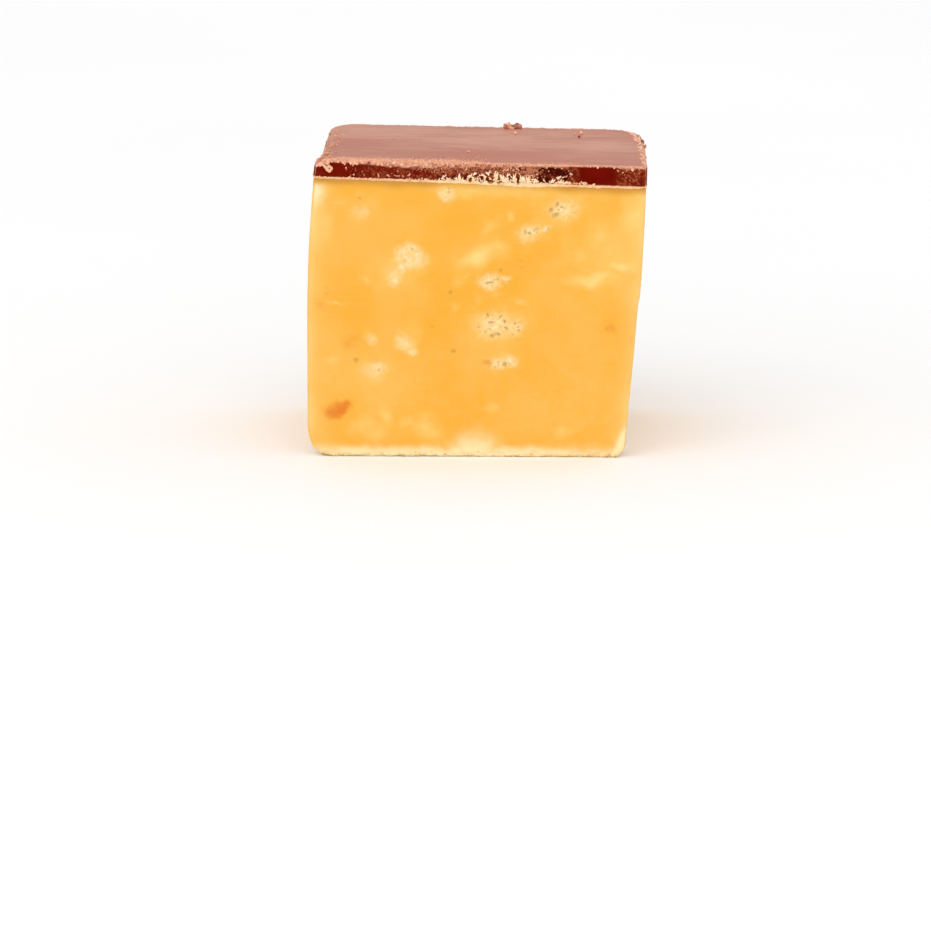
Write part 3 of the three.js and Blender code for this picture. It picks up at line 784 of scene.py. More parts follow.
def shape_fudge(bm, block):
    noise.seed_set(NOISE_SEED)
    spots = spots_by_face(block.fudge)
    ringed_skin(bm, block, FUDGE_SEGMENTS, fudge_rings(block.fudge), fudge_wall(block))

    def in_spot(vert):
        name, along, upright = facing(vert)
        return upright > 0.3 and spot_field(spots[name].porous + spots[name].specks, along, vert.co.z) > 0.3

    refine(bm, in_spot, 3)
    refine(bm, lambda vert: vert.co.z < 1.1 * MM and facing(vert)[2] > 0.3, 2)

    def look(vert):
        name, along, upright = facing(vert)
        if upright < 0.3:
            return None
        point, axis, here = vert.co, FACES[name][0], spots[name]
        loose, close = strayed(point, 0.75 * MM, 0.25 * MM), strayed(point, 0, 0.12 * MM)
        far, near = loose.dot(axis), close.dot(axis)
        fold, groove = corner_fold(name, along, point.z)
        marks = {
            "pale": spot_field(here.pale, far, loose.z),
            "cream": spot_field(here.porous, far * 0.5 + near * 0.5, (loose.z + close.z) / 2),
            "brown": spot_field(here.brown, far, loose.z),
            "speck": spot_field(here.specks, near, close.z),
            # The pit mark sinks the open bubbles and darkens them with painted shade.
            "pit": smoothstep(spot_field(here.pores, near, close.z), 0.25, 0.8),
            # The glow and foot marks are painted light, and the fold's lip adds a painted highlight to both.
            "glow": max(edge_glow(block, name, along, point), fold * 0.8),
            "foot": max(foot_glow(name, along, point), 0.75 * fold),
            "under": under_chocolate(block, name, along, point),
        }
        return vert.normal * fudge_relief(point, marks, fold, groove), marks

    mark_and_move(bm, ("pale", "cream", "brown", "speck", "pit", "glow", "foot", "under"), look)


# ---------------------------------------------------------------- chocolate


def drawn_to_shoulders(walls, depth, place):
    """The chocolate's walls under their rim, which grows into wide shoulders on the left and right."""
    drops, insets = RIM_DROP, RIM_INSET
    for side, shoulder in SHOULDERS.items():
        share = smoothstep((place.along + 1) / 2, shoulder.start, shoulder.end)
        drops = drops._replace(**{side: lerp(getattr(drops, side), shoulder.drop, share)})
        insets = insets._replace(**{side: lerp(getattr(insets, side), shoulder.inset, share)})
        back = shoulder.set_back * share
        walls = walls._replace(**{side: getattr(walls, side) + (back if side == "left" else -back)})
    return drawn_in(walls, depth, drops, insets)


def chocolate_wall(block):
    chocolate = block.chocolate

    def wall_point(place, height):
        depth = chocolate.height - height
        worn = edge_inset(depth, mix_corners(WORN_DROP, place), mix_corners(WORN_RADIUS, place))
        walls = drawn_to_shoulders(block.beside(place, height), depth, place)
        if place.out.y < -0.9:
            x = (block.shift.x + place.across * block.fudge.top_width / 2) / MM
            sharp = 0.8 * (1 - smoothstep(brokenness("front", x), 0.1, 0.6))
            rounded = edge_inset(depth, RIM_DROP.front, RIM_INSET.front)
            sharper = edge_inset(depth, RIM_DROP.front * 0.3, RIM_INSET.front * 0.3)
            walls = walls._replace(front=walls.front - sharp * (rounded - sharper))
        return on_walls(walls, mix_corners(CORNER, place) + worn, place) + place.out * chocolate.proud
    return wall_point


def chocolate_rings(block):
    top, bottom = block.chocolate.height, block.fudge.height
    inner, outer, rows_down = 7, 17, 24
    reaches = [0.7 * i / inner for i in range(inner)]
    reaches += [1 - 0.3 * (1 - i / outer) ** 1.7 for i in range(outer + 1)]
    rings = [Ring(top, reach) for reach in reaches]
    rings += [Ring(lerp(top, bottom, (i / rows_down) ** 1.25), 1) for i in range(1, rows_down + 1)]
    return rings + [Ring(bottom, reach) for reach in (0.985, 0.95, 0.6, 0)]


def brokenness(name, x):
    """How crumbly the cut wall is, x millimetres along a face: 0 where the knife cut clean."""
    if name == "front":
        return profile(CRUMBLED, x)
    return 0.25 + 0.5 * smoothstep(face_noise(name, x, 4.5, 0), -0.15, 0.35)


def rim_widths(name, x):
    """How wide the crumbly band along a face's upper edge is on the top and on the wall, in millimetres."""
    if name == "front":
        return profile(RIM_ON_TOP, x), profile(RIM_ON_WALL, x)
    rough = brokenness(name, x)
    return 0.25 + 0.5 * rough, 0.12 + 0.4 * rough


def rim_mask(name, x, point, depth, inside):
    """How much of the pale crumbly band along the upper edge lies at a point."""
    above, down = rim_widths(name, x)
    fray = 0.22 * wobble(point, 0.55 * MM, 21) + 0.16 * wobble(point, 0.22 * MM, 22)
    on_wall = 1 - smoothstep(depth / down + fray * 1.6, 0.55, 1.35)
    on_top = 1 - smoothstep(inside / above + fray * 1.5, 0.5, 1.15)
    return on_wall * on_top * (1 if name == "front" else 0.6)


def hollow_mask(x, point, depth):
    """How deep in a gap or gouge a point of the front's cut wall lies. The small ones are shallower."""
    ragged_x = x + 0.22 * wobble(point, 0.5 * MM, 12) + 0.1 * wobble(point, 0.2 * MM, 13)
    ragged_depth = depth + 0.14 * wobble(point, 0.4 * MM, 14)
    hollow = smoothstep(spot_field(HOLLOWS, ragged_x * MM, ragged_depth * MM), 0.32, 0.62)
    return hollow * lerp(0.55, 1, smoothstep(x, 5.5, 7))


def shape_chocolate(bm, block):
    ringed_skin(bm, block, CHOCOLATE_SEGMENTS, chocolate_rings(block), chocolate_wall(block))
    top, walls = block.chocolate.height, block.top_walls()

    def look(vert):
        point = vert.co
        if vert.normal.z < -0.5:
            return None
        name, along, upright = facing(vert)
        to_edge = {
            "front": point.y - walls.front, "back": walls.back - point.y,
            "left": point.x - walls.left, "right": walls.right - point.x,
        }
        if upright < 0.4:
            name = min(to_edge, key=to_edge.get)
            along = point.dot(FACES[name][0])
        x, inside = along / MM, to_edge[name] / MM
        depth = (block.sloped(top, point.x) - point.z) / MM
        low, high = (0.25, 0.8) if name in ("front", "back") else (0.6, 0.93)
        on_wall = smoothstep(upright, low, high)
        rough, rim = brokenness(name, x), rim_mask(name, x, point, depth, inside)
        # A painted highlight along the very top edge of the chocolate.
        edge = (1 - smoothstep(depth, 0.05, 0.2)) * hill(max(0.0, inside - 0.12), 0, 0.3)
        crag = max(0.0, ruffle(point, 0.8 * MM) - 0.35)
        fine = wobble(point, 0.26 * MM, 4)
        inward = on_wall * rough * (0.2 * crag + 0.05 * fine)
        inward += on_wall * 0.012 * wobble(Vector((point.x, point.y, point.z * 0.15)), 0.3 * MM, 8)
        inward += rim * (0.10 * (ruffle(point, 0.5 * MM) - 0.5) + 0.04 * fine)
        hollow = hollow_mask(x, point, depth) if name == "front" and on_wall > 0.1 else 0.0
        inward += on_wall * hollow * (0.34 + 0.1 * fine)
        lift = (1 - on_wall) * (0.05 * wobble(point, 9 * MM, 1) + 0.012 * wobble(point, 1.8 * MM, 6))
        lift *= smoothstep(inside, -0.2, 0.5)
        worn = 0.5 * smoothstep(-point.x / MM, 16.3, 17.2) * (1 - smoothstep(to_edge["front"] / MM, 0.4, 2.2))
        worn *= 1 - clamp(depth / 1.8)
        marks = {
            "broken": rough,
            "rim": rim,
            "hollow": on_wall * hollow,
            "wall": on_wall,
            # Painted sheen on the top: lighter by the light mark, redder and darker where the sheen is low.
            "light": spot_field(TOP_SHEEN, point.x, point.y),
            "low_sheen": spot_field(TOP_LOW_SHEEN, point.x, point.y),
            "edge": edge * (1 if name == "front" else 0.3) * (1 - on_wall * 0.5),
        }
        return vert.normal * (lift - inward) * MM - Vector((0, 0, worn * MM)), marks

    mark_and_move(bm, ("broken", "rim", "hollow", "wall", "light", "low_sheen", "edge"), look)
    wall = bm.verts.layers.float["wall"]
    for face in bm.faces:
        if all(vert[wall] > 0.5 for vert in face.verts):
            face.material_index = 1


# ---------------------------------------------------------------- small pieces


def new_piece(name, shape, materials, replaced=None):
    """Make a piece from a function that shapes a bmesh, and let it ride with the block."""
    bm = bmesh.new()
    shape(bm)
    mesh = bpy.data.meshes.new(name)
    bm.to_mesh(mesh)
    bm.free()
    for material in materials:
        mesh.materials.append(material)
    mesh.polygons.foreach_set("use_smooth", [True] * len(mesh.polygons))
    piece = bpy.data.objects.new(name, mesh)
    bpy.context.scene.collection.objects.link(piece)
    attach(piece, "root")
    if replaced:
        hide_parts(replaced)


def strew(name, shape, block, surface, seed, material):
    """Make a piece of crumbs that lie on a surface."""
    new_piece(name, lambda bm: shape(Heap(bm, block, surface, seed)), [material])


def surface_of(name):
    bm = bmesh.new()
    bm.from_mesh(bpy.data.objects[name].data)
    tree = BVHTree.FromBMesh(bm)
    bm.free()
    return tree


class Heap:
    """Crumbs of one kind as they are strewn on a surface, each with a tone from 0, dark, to 1, pale."""

    def __init__(self, bm, block, surface, seed):
        self.bm, self.block, self.surface = bm, block, surface
        self.rng = random.Random(seed)
        self.layer = bm.verts.layers.float.new("tone")

    def tone(self, mean, spread):
        return clamp(self.rng.gauss(mean, spread))

    def shaken(self, reach):
        return Vector([self.rng.uniform(-reach, reach) for _ in range(3)])

    def on_wall(self, name, along, depth, inset=0.0):
        """The point of the surface that is nearest to a place on a cut wall, and its normal."""
        return self.surface.find_nearest(self.block.rim(name, along, depth, inset))[:2]

    def on_front(self, x, depth, inset=0.0):
        """The same on the front's cut wall, with its place in millimetres."""
        return self.on_wall("front", x * MM, depth * MM, inset * MM)

    def on_top(self, x, y):
        """The point of the top at a place in millimetres, and its normal."""
        point, normal, _, _ = self.surface.ray_cast(Vector((x, y, 40)) * MM, Vector((0, 0, -1)))
        if point is None or normal.z < 0.2:
            point, normal, _, _ = self.surface.find_nearest(Vector((x, y, 32)) * MM)
        return point, normal

    def crumb(self, at, tone, size, lift=0.0, stretch=(1, 1, 1), turn=None):
        """A small faceted ball knocked out of shape. Its size is in millimetres, its lift a share of it."""
        point, normal = at
        size *= MM
        made = bmesh.ops.create_icosphere(self.bm, subdivisions=1, radius=0.5)
        if turn is None:
            turn = Euler([self.rng.uniform(0, math.tau) for _ in range(3)]).to_matrix().to_4x4()
        scale = Matrix.Diagonal((*(share * size for share in stretch), 1))
        matrix = Matrix.Translation(point + normal * size * lift) @ turn @ scale
        for vert in made["verts"]:
            vert.co = matrix @ (vert.co + self.shaken(0.17))
            vert[self.layer] = tone

    def flake(self, at, tone, size):
        """A crumb that lies flat on the surface."""
        flat = at[1].to_track_quat("Z", "Y").to_matrix().to_4x4()
        turn = flat @ Matrix.Rotation(self.rng.uniform(0, math.tau), 4, "Z")
        self.crumb(at, tone, size, 0, (1.25, 0.9, 0.4), turn)

    def shred(self, shred):
        """A torn shred on the front's cut wall: a long lump bent into an arc, its tilt clockwise."""
        point, normal = self.on_front(shred.x, shred.depth)
        point = point + normal * self.rng.uniform(0.2, 0.5) * shred.thick * MM
        cosine, sine = math.cos(math.radians(shred.tilt)), math.sin(math.radians(shred.tilt))
        made = bmesh.ops.create_icosphere(self.bm, subdivisions=2, radius=0.5)
        for vert in made["verts"]:
            x, y, z = vert.co + self.shaken(0.07)
            taper = 1.15 - 1.1 * z * z
            across = x * shred.thick * taper + shred.bend * (0.25 - z * z) * shred.length
            along = z * shred.length
            level, upright = across * cosine + along * sine, along * cosine - across * sine
            vert.co = point + Vector((level, y * shred.thick * 0.8, upright)) * MM
            vert[self.layer] = shred.tone

    def torn(self, wide):
        """A wide shred, torn into thin strands."""
        rng, spread = self.rng, wide.thick * 0.45
        for _ in range(max(1, round(wide.thick / 0.11))):
            self.shred(wide._replace(
                x=wide.x + rng.uniform(-spread, spread),
                depth=wide.depth + rng.uniform(-spread, spread) * 0.5,
                length=wide.length * rng.uniform(0.6, 1.05),
                thick=rng.uniform(0.1, 0.17),
                tilt=wide.tilt + rng.gauss(0, 16),
                bend=wide.bend + rng.uniform(-0.35, 0.35),
                tone=self.tone(wide.tone, 0.08),
            ))

    def curl(self, base, out, size):
        """A shaving: a strip rolled up by the knife, thicker at its root and torn at its end."""
        rng = self.rng
        grid = bmesh.ops.create_grid(self.bm, x_segments=7, y_segments=2, size=0.5)
        turns = rng.uniform(0.3, 0.9)
        width, radius = size * rng.uniform(0.35, 0.8), size * rng.uniform(0.24, 0.4)
        tone = self.tone(0.6, 0.25)
        upright = Matrix.Rotation(math.atan2(out.y, out.x), 4, "Z")
        lean = Matrix.Rotation(rng.gauss(0, 0.5), 4, "X") @ Matrix.Rotation(rng.gauss(0, 0.35), 4, "Z")
        matrix = Matrix.Translation(base) @ upright @ lean
        for vert in grid["verts"]:
            run, across = vert.co.x + 0.5, vert.co.y
            rolled = run * turns * math.tau
            spiral, ragged = radius * (1 - 0.45 * run), 1 - 0.5 * run * rng.random()
            out_x, up = spiral * math.sin(rolled), radius - spiral * math.cos(rolled)
            local = Vector((out_x, across * width * ragged, up))
            vert.co = matrix @ (local + self.shaken(1) * size * 0.05)
            vert[self.layer] = tone
        faces = {face for vert in grid["verts"] for face in vert.link_faces}
        bmesh.ops.solidify(self.bm, geom=list(faces), thickness=size * 0.09)


def shape_rim_crumbs(heap):
    """Fine crumbs that cover the broken rim of the chocolate, on its top and on its cut wall."""
    rng, block = heap.rng, heap.block
    for name, share in (("front", 0.64), ("right", 0.09), ("left", 0.07), ("back", 0.1)):
        half, middle = block.half(name) - 0.25 * MM, block.middle(name)
        for _ in range(round(block.chocolate.rim_crumbs * share)):
            along = middle + rng.uniform(-half, half)
            above, down = rim_widths(name, along / MM)
            if rng.random() > 0.28 + 0.22 * (above + down):
                continue
            place = rng.triangular(-above * 1.1, down, 0)
            at = heap.on_wall(name, along, max(0, place) * MM, max(0, -place) * MM)
            size = rng.uniform(0.07, 0.17) * (0.85 + 0.3 * min(1, down))
            heap.crumb(at, clamp(rng.gauss(0.62, 0.13) - 0.4 * max(0, place)), size, 0.1)
    for _ in range(RIM_FLAKES):
        at = heap.on_front(rng.uniform(-16.4, -2.5), abs(rng.gauss(0, 0.2)), rng.uniform(0, 0.7))
        heap.flake(at, heap.tone(0.6, 0.12), rng.uniform(0.2, 0.46))
    for _ in range(HANGING_FLAKES):
        at = heap.on_front(rng.uniform(-17.5, -16.7), rng.uniform(0.2, 0.55))
        heap.flake(at, heap.tone(0.8, 0.06), rng.uniform(0.26, 0.44))
    for line, number, spread, most, pale in SHOULDER_CRUMBS:
        for _ in range(number):
            walk = rng.uniform(0, len(line) - 1.001)
            start, end = Vector(line[int(walk)]), Vector(line[int(walk) + 1])
            x, y = start.lerp(end, walk % 1) + Vector((rng.gauss(0, spread), rng.gauss(0, spread)))
            heap.flake(heap.on_top(x, y), heap.tone(pale, 0.09), rng.triangular(0.12, most, 0.2))


def shape_chunks(heap):
    """Coarser broken chocolate on the front's wall, and the bits that lie in its hollows."""
    rng = heap.rng
    for _ in range(CHUNKS):
        x, depth = rng.uniform(-4.9, 7.0), 0.12 + 0.95 * rng.random() ** 0.8
        if spot_field(HOLLOWS, x * MM, depth * MM) > 0.5 and rng.random() < 0.8:
            continue
        size = rng.triangular(0.12, 0.42, 0.16)
        tone = heap.tone(0.64, 0.26)
        heap.crumb(heap.on_front(x, depth, 0.1), tone, size, 0.06, (1, 0.6, rng.uniform(0.5, 1)))
    for _ in range(LEFT_WALL_CHUNKS):
        at = heap.on_front(rng.uniform(-14, -4.5), rng.uniform(0.6, 1.8))
        size = rng.triangular(0.1, 0.3, 0.12)
        heap.crumb(at, heap.tone(0.45, 0.14), size, 0, (1, 0.5, 0.8))
    for _ in range(SEAM_CHUNKS):
        point, normal = heap.on_front(rng.gauss(5.84, 0.3), rng.gauss(0.62, 0.16))
        heap.crumb((point + normal * 0.08 * MM, normal), rng.uniform(0.75, 1), rng.uniform(0.2, 0.4))
    for _ in range(HOLLOW_CHUNKS):
        x, depth = rng.uniform(6.9, 10.4), rng.uniform(0.2, 1.5)
        edge = clamp(abs(x - 8.6) / 1.9) ** 3
        heap.crumb(heap.on_front(x, depth, 0.2), heap.tone(0.06 + 0.75 * edge, 0.1), rng.uniform(0.12, 0.28))


def shape_specks(heap):
    """Pale specks on the front's cut wall, and the flake that hangs over its left end."""
    rng = heap.rng
    specks = list(WALL_SPECKS)
    for strewn in STREWN_SPECKS:
        for _ in range(strewn.number):
            specks.append(Speck(
                rng.uniform(strewn.left, strewn.right), rng.uniform(strewn.high, strewn.low),
                rng.uniform(0.09, strewn.most), rng.uniform(strewn.dark, strewn.light),
            ))
    for speck in specks:
        heap.crumb(heap.on_front(speck.x, speck.depth), speck.tone, speck.size, 0.15, (1, 0.7, 0.9))
    for wide in PINK_SHREDS:
        heap.torn(wide)
    for shred in FLAKE:
        heap.shred(shred)


def shape_top_crumbs(heap):
    """The loose crumbs on the top face."""
    rng = heap.rng
    for cluster in TOP_CLUSTERS:
        for _ in range(cluster.number):
            at = heap.on_top(rng.gauss(cluster.x, cluster.spread), rng.gauss(cluster.y, cluster.spread * 0.4))
            size = cluster.size * rng.uniform(0.7, 1.1)
            heap.crumb(at, heap.tone(cluster.tone, 0.08), size, 0.3)
    # Pale crumbs laid on the hump's top: a painted highlight on it.
    hump, up = heap.on_top(*HUMP)
    for _ in range(HUMP_HIGHLIGHT_CRUMBS):
        place = hump + Vector((rng.gauss(0, 0.13), -0.12, 0.5)) * MM
        heap.crumb((place, up), 0.84, rng.uniform(0.26, 0.36))
    front = heap.block.top_walls().front / MM
    for _ in range(TOP_DUST):
        at = heap.on_top(rng.gauss(-2.2, 1.9), front + (abs(rng.gauss(0, 1.9)) + 0.3))
        size = rng.uniform(0.07, 0.16)
        heap.crumb(at, heap.tone(0.56, 0.12), size, 0.1)
    for _ in range(RIGHT_TOP_DUST):
        at = heap.on_top(rng.uniform(2.5, 11), front + rng.uniform(0.3, 1.6))
        size = rng.uniform(0.06, 0.12)
        heap.crumb(at, heap.tone(0.5, 0.15), size, 0.1)
    for worn in RIGHT_EDGE_CRUMBS:
        point, normal = heap.on_top(worn.x, worn.y)
        for _ in range(worn.number):
            place = point + Vector([rng.gauss(0, worn.spread) for _ in range(3)]) * MM
            tone = heap.tone(worn.tone, 0.06)
            heap.crumb((place + normal * 0.06 * MM, normal), tone, worn.size, 0, (0.7, 1.3, 0.8))


def shape_curls(heap):
    """Shavings along the left and right edges of the chocolate, and a few along the back."""
    rng, block = heap.rng, heap.block
    for _ in range(block.chocolate.curls):
        name = rng.choice(["right"] * 4 + ["left"] * 4 + ["back"])
        half = block.half(name) - 1.6 * MM
        along = block.middle(name) + rng.uniform(-half, half)
        point, normal = heap.on_wall(name, along, rng.uniform(0.15, 0.8) * MM)
        heap.curl(point - normal * 0.08 * MM, FACES[name][1], rng.uniform(0.18, 0.45) * MM)


def smear_top(name, x):
    """How far the knife dragged fudge up over the chocolate in millimetres, x millimetres along a face."""
    place = Vector((x, FACE_SEEDS[name], 9))
    fine = abs(noise.noise(place / 0.4)) + 0.6 * abs(noise.noise(place / 0.17))
    if name != "front":
        patch = smoothstep(noise.noise(place / 3.5), 0.1, 0.45)
        return 0.04 + 0.2 * fine + 0.35 * patch * fine
    middle = in_span(x, -4.4, 9.4, 0.6)
    top = 0.02 + 0.1 * fine + 0.16 * middle * fine
    return top - sum(0.34 * hill(x, notch, width) for notch, width in SMEAR_NOTCHES)


def shape_smear(bm, block):
    """A thin ragged lip of fudge all round the foot of the chocolate, widest in the middle of the front."""
    bmesh.ops.create_grid(bm, x_segments=1700, y_segments=5, size=0.5)
    wall = chocolate_wall(block)
    bottom = block.fudge.height
    tone = bm.verts.layers.float.new("tone")
    for vert in bm.verts:
        turn, row = (vert.co.x + 0.5) % 1.0, vert.co.y + 0.5
        place = block.place(turn)
        name = max(FACES, key=lambda face: place.out.dot(FACES[face][1].xy))
        point = wall(place, bottom)
        x = point.dot(FACES[name][0].xy) / MM
        hang, pale = (profile(SMEAR_HANG, x), profile(SMEAR_TONE, x)) if name == "front" else (0.16, 0.25)
        sag = -hang - 0.14 * abs(face_noise(name, x, 0.9, 3)) - 0.12 * abs(face_noise(name, x, 0.3, 5))
        rise = lerp(sag, smear_top(name, x), row)
        bulge = 0.05 * math.sin(math.pi * (1 - row) ** 0.6)
        bulge += 0.05 * noise.noise(Vector((x / 0.5, row * 3, 4)))
        point = point + place.out * (bulge - 0.03) * MM
        vert.co = (point.x, point.y, block.sloped(bottom, point.x) + rise * MM)
        vert[tone] = clamp(pale + 0.12 * (1 - row) + 0.25 * face_noise(name, x, 0.8, 6))
    bmesh.ops.remove_doubles(bm, verts=bm.verts[:], dist=1e-6)
    bmesh.ops.recalc_face_normals(bm, faces=bm.faces[:])
    bmesh.ops.solidify(bm, geom=bm.faces[:], thickness=0.1 * MM)


def shape_tufts(heap):
    """Shreds of fudge that the knife tore up onto the chocolate's wall in the middle of the front."""
    rng = heap.rng
    foot = (heap.block.chocolate.height - heap.block.fudge.height) / MM
    for wide in FUDGE_SHREDS:
        heap.torn(wide)
    made = 0
    while made < TUFTS:
        x = rng.triangular(-4.4, 10.6, 2.6)
        length = rng.triangular(0.2, 0.75, 0.3)
        depth = foot + 0.1 - 0.5 * length - abs(rng.gauss(0, 0.22)) * in_span(x, -2.5, 6.5, 1)
        gap = spot_field(HOLLOWS, x * MM, depth * MM) > 0.42
        if (gap and rng.random() < 0.93) or (6.9 < x < 7.9 and rng.random() < 0.9):
            continue
        made += 1
        thick, tilt, bend = rng.uniform(0.09, 0.17), rng.gauss(0, 34), rng.uniform(-0.5, 0.5)
        heap.shred(Shred(x, depth, length, thick, tilt, bend, heap.tone(0.56, 0.18)))
    for _ in range(SMEAR_CRUMBS):
        x = rng.uniform(-17.2, 12)
        middle = in_span(x, -4.5, 9, 0.5)
        height = rng.uniform(0, 0.3) if middle > 0.5 else abs(rng.gauss(0, 0.08))
        if any(abs(x - notch) < width for notch, width in SMEAR_NOTCHES):
            continue
        size = rng.uniform(0.08, 0.2 + 0.1 * (1 - middle))
        heap.crumb(heap.on_front(x, foot - height), heap.tone(0.3 + 0.3 * middle, 0.14), size, 0.1)


def shape_fudge_crumbs(heap):
    """Crumbs of fudge on the cut faces: a few strewn, more along the foot and the upright corners."""
    rng = heap.rng
    for index in range(FUDGE_CRUMBS):
        name = rng.choice(list(FACES))
        axis, out = FACES[name]
        half = heap.block.half(name)
        if index % 2 == 0:
            along, height, most = rng.uniform(-half, half), abs(rng.gauss(0, 0.3)) + 0.1, 0.26
        elif index % 4 == 1:
            along, height, most = rng.choice((-half, half)) * 0.985, rng.uniform(0.5, 30), 0.14
        else:
            along, height, most = rng.uniform(-half, half), rng.uniform(1, 30), 0.09
        start = axis * along + out * 20 * MM
        start.z = height * MM
        at = heap.surface.ray_cast(start, -out)[:2]
        if at[0] is None:
            continue
        size = rng.uniform(0.05, most)
        heap.crumb(at, heap.tone(0.6, 0.3), size, 0.1)


# ---------------------------------------------------------------- materials


class Nodes:
    """Adds nodes to a tree. A method that works something out returns the socket that carries it."""

    def __init__(self, tree):
        self.tree = tree

    def feed(self, node, inputs):
        """Link a node's inputs, given by name or number, or set those whose value is a plain one."""
        for key, value in inputs.items():
            if isinstance(value, bpy.types.NodeSocket):
                self.tree.links.new(value, node.inputs[key])
            else:
                node.inputs[key].default_value = value

    def add(self, kind, inputs=None, **values):
        made = self.tree.nodes.new(kind)
        for key, value in values.items():
            setattr(made, key, value)
        self.feed(made, inputs or {})
        return made

    def maths(self, operation, a, b):
        return self.add("ShaderNodeMath", {0: a, 1: b}, operation=operation).outputs[0]

    def plus(self, a, b):
        return self.maths("ADD", a, b)

    def times(self, a, b):
        return self.maths("MULTIPLY", a, b)

    def blended(self, factor, a, b):
        inputs = {MIX_FACTOR: factor, MIX_A: opaque(a), MIX_B: opaque(b)}
        return self.add("ShaderNodeMix", inputs, data_type="RGBA", clamp_factor=True).outputs[MIX_RESULT]

    def ranged(self, value, low, high, to_low=0.0, to_high=1.0):
        inputs = dict(enumerate((value, low, high, to_low, to_high)))
        return self.add("ShaderNodeMapRange", inputs, interpolation_type="SMOOTHSTEP", clamp=True).outputs[0]

    def attribute(self, name):
        return self.add("ShaderNodeAttribute", attribute_name=name).outputs["Fac"]

    def texture(self, scale, detail, roughness, stretch=(1, 1, 1)):
        """Noise on the object's own coordinates, drawn out by the stretch."""
        where = self.add("ShaderNodeTexCoord").outputs["Object"]
        if stretch != (1, 1, 1):
            squeeze = [1 / share for share in stretch]
            where = self.add("ShaderNodeMapping", {"Vector": where, "Scale": squeeze}).outputs[0]
        inputs = {"Vector": where, "Scale": scale, "Detail": detail, "Roughness": roughness}
        return self.add("ShaderNodeTexNoise", inputs).outputs["Fac"]

    def noise(self, size, detail=3.0, stretch=(1, 1, 1), roughness=0.55):
        """The same, with features about the given size in metres."""
        return self.texture(1 / size, detail, roughness, stretch)

    def ragged(self, field, size, raggedness, softness):
        inputs = {"Field": field, "Grain": 1 / size, "Raggedness": raggedness, "Softness": softness}
        return self.add("ShaderNodeGroup", inputs, node_tree=ragged_outline()).outputs["Mask"]

    def grain(self, size):
        inputs = {"Grain": 1 / size, "Coarse share": 0.5}
        return self.add("ShaderNodeGroup", inputs, node_tree=sugar_grain()).outputs["Height"]


def opaque(colour):
    """A colour socket as it is, or a plain colour with full alpha."""
    return colour if isinstance(colour, bpy.types.NodeSocket) else (*colour[:3], 1)


def effect_group(name, inputs, output, effect):
    """A node group with number inputs and one output, made once and shared by the materials."""
    if name in bpy.data.node_groups:
        return bpy.data.node_groups[name]
    tree = bpy.data.node_groups.new(name, "ShaderNodeTree")
    for given, default in inputs.items():
        socket = tree.interface.new_socket(given, in_out="INPUT", socket_type="NodeSocketFloat")
        socket.default_value = default
    tree.interface.new_socket(output, in_out="OUTPUT", socket_type="NodeSocketFloat")
    nodes = Nodes(tree)
    result = effect(nodes, nodes.add("NodeGroupInput").outputs)
    nodes.add("NodeGroupOutput", {output: result})
    return tree


def ragged_outline():
    """Turns a soft field into a mask with a ragged outline: 0.5 in the field is the outline's mean place."""
    def effect(nodes, given):
        shifted = nodes.maths("SUBTRACT", nodes.texture(given["Grain"], 4.0, 0.62), 0.5)
        torn = nodes.plus(given["Field"], nodes.times(shifted, given["Raggedness"]))
        low, high = nodes.maths("SUBTRACT", 0.5, given["Softness"]), nodes.plus(0.5, given["Softness"])
        return nodes.ranged(torn, low, high)

    inputs = {"Field": 0.0, "Grain": 1000.0, "Raggedness": 0.3, "Softness": 0.1}
    return effect_group("Ragged outline", inputs, "Mask", effect)


def sugar_grain():
    """Fine sugar grain: a height for a bump, made of two sizes of crystals."""
    def effect(nodes, given):
        fine, coarse = (nodes.texture(nodes.times(given["Grain"], share), 2.0, 0.5) for share in (1.0, 0.3))
        return nodes.plus(fine, nodes.times(coarse, given["Coarse share"]))

    return effect_group("Sugar grain", {"Grain": 5000.0, "Coarse share": 0.5}, "Height", effect)


class Paint(Nodes):
    """A material as it is built up: one Principled shader, with its constants on its own sockets."""

    def __init__(self, name, **constants):
        self.material = bpy.data.materials.new(name)
        self.material.use_nodes = True
        super().__init__(self.material.node_tree)
        self.shader = self.tree.nodes["Principled BSDF"]
        self.feed(self.shader, {key.replace("_", " "): value for key, value in constants.items()})
        self.colour = None

    def over(self, mask, share, colour):
        """Lay a colour over the colour so far, as strongly as its mask and its share say."""
        self.colour = self.blended(self.times(mask, share), self.colour, colour)

    def finished(self, roughness, height, depth):
        """The material, with its colour, its roughness and a bump of the given depth fed to the shader."""
        bump = self.add("ShaderNodeBump", {"Distance": depth, "Height": height})
        normal = bump.outputs["Normal"]
        self.feed(self.shader, {"Base Color": self.colour, "Roughness": roughness, "Normal": normal})
        return self.material


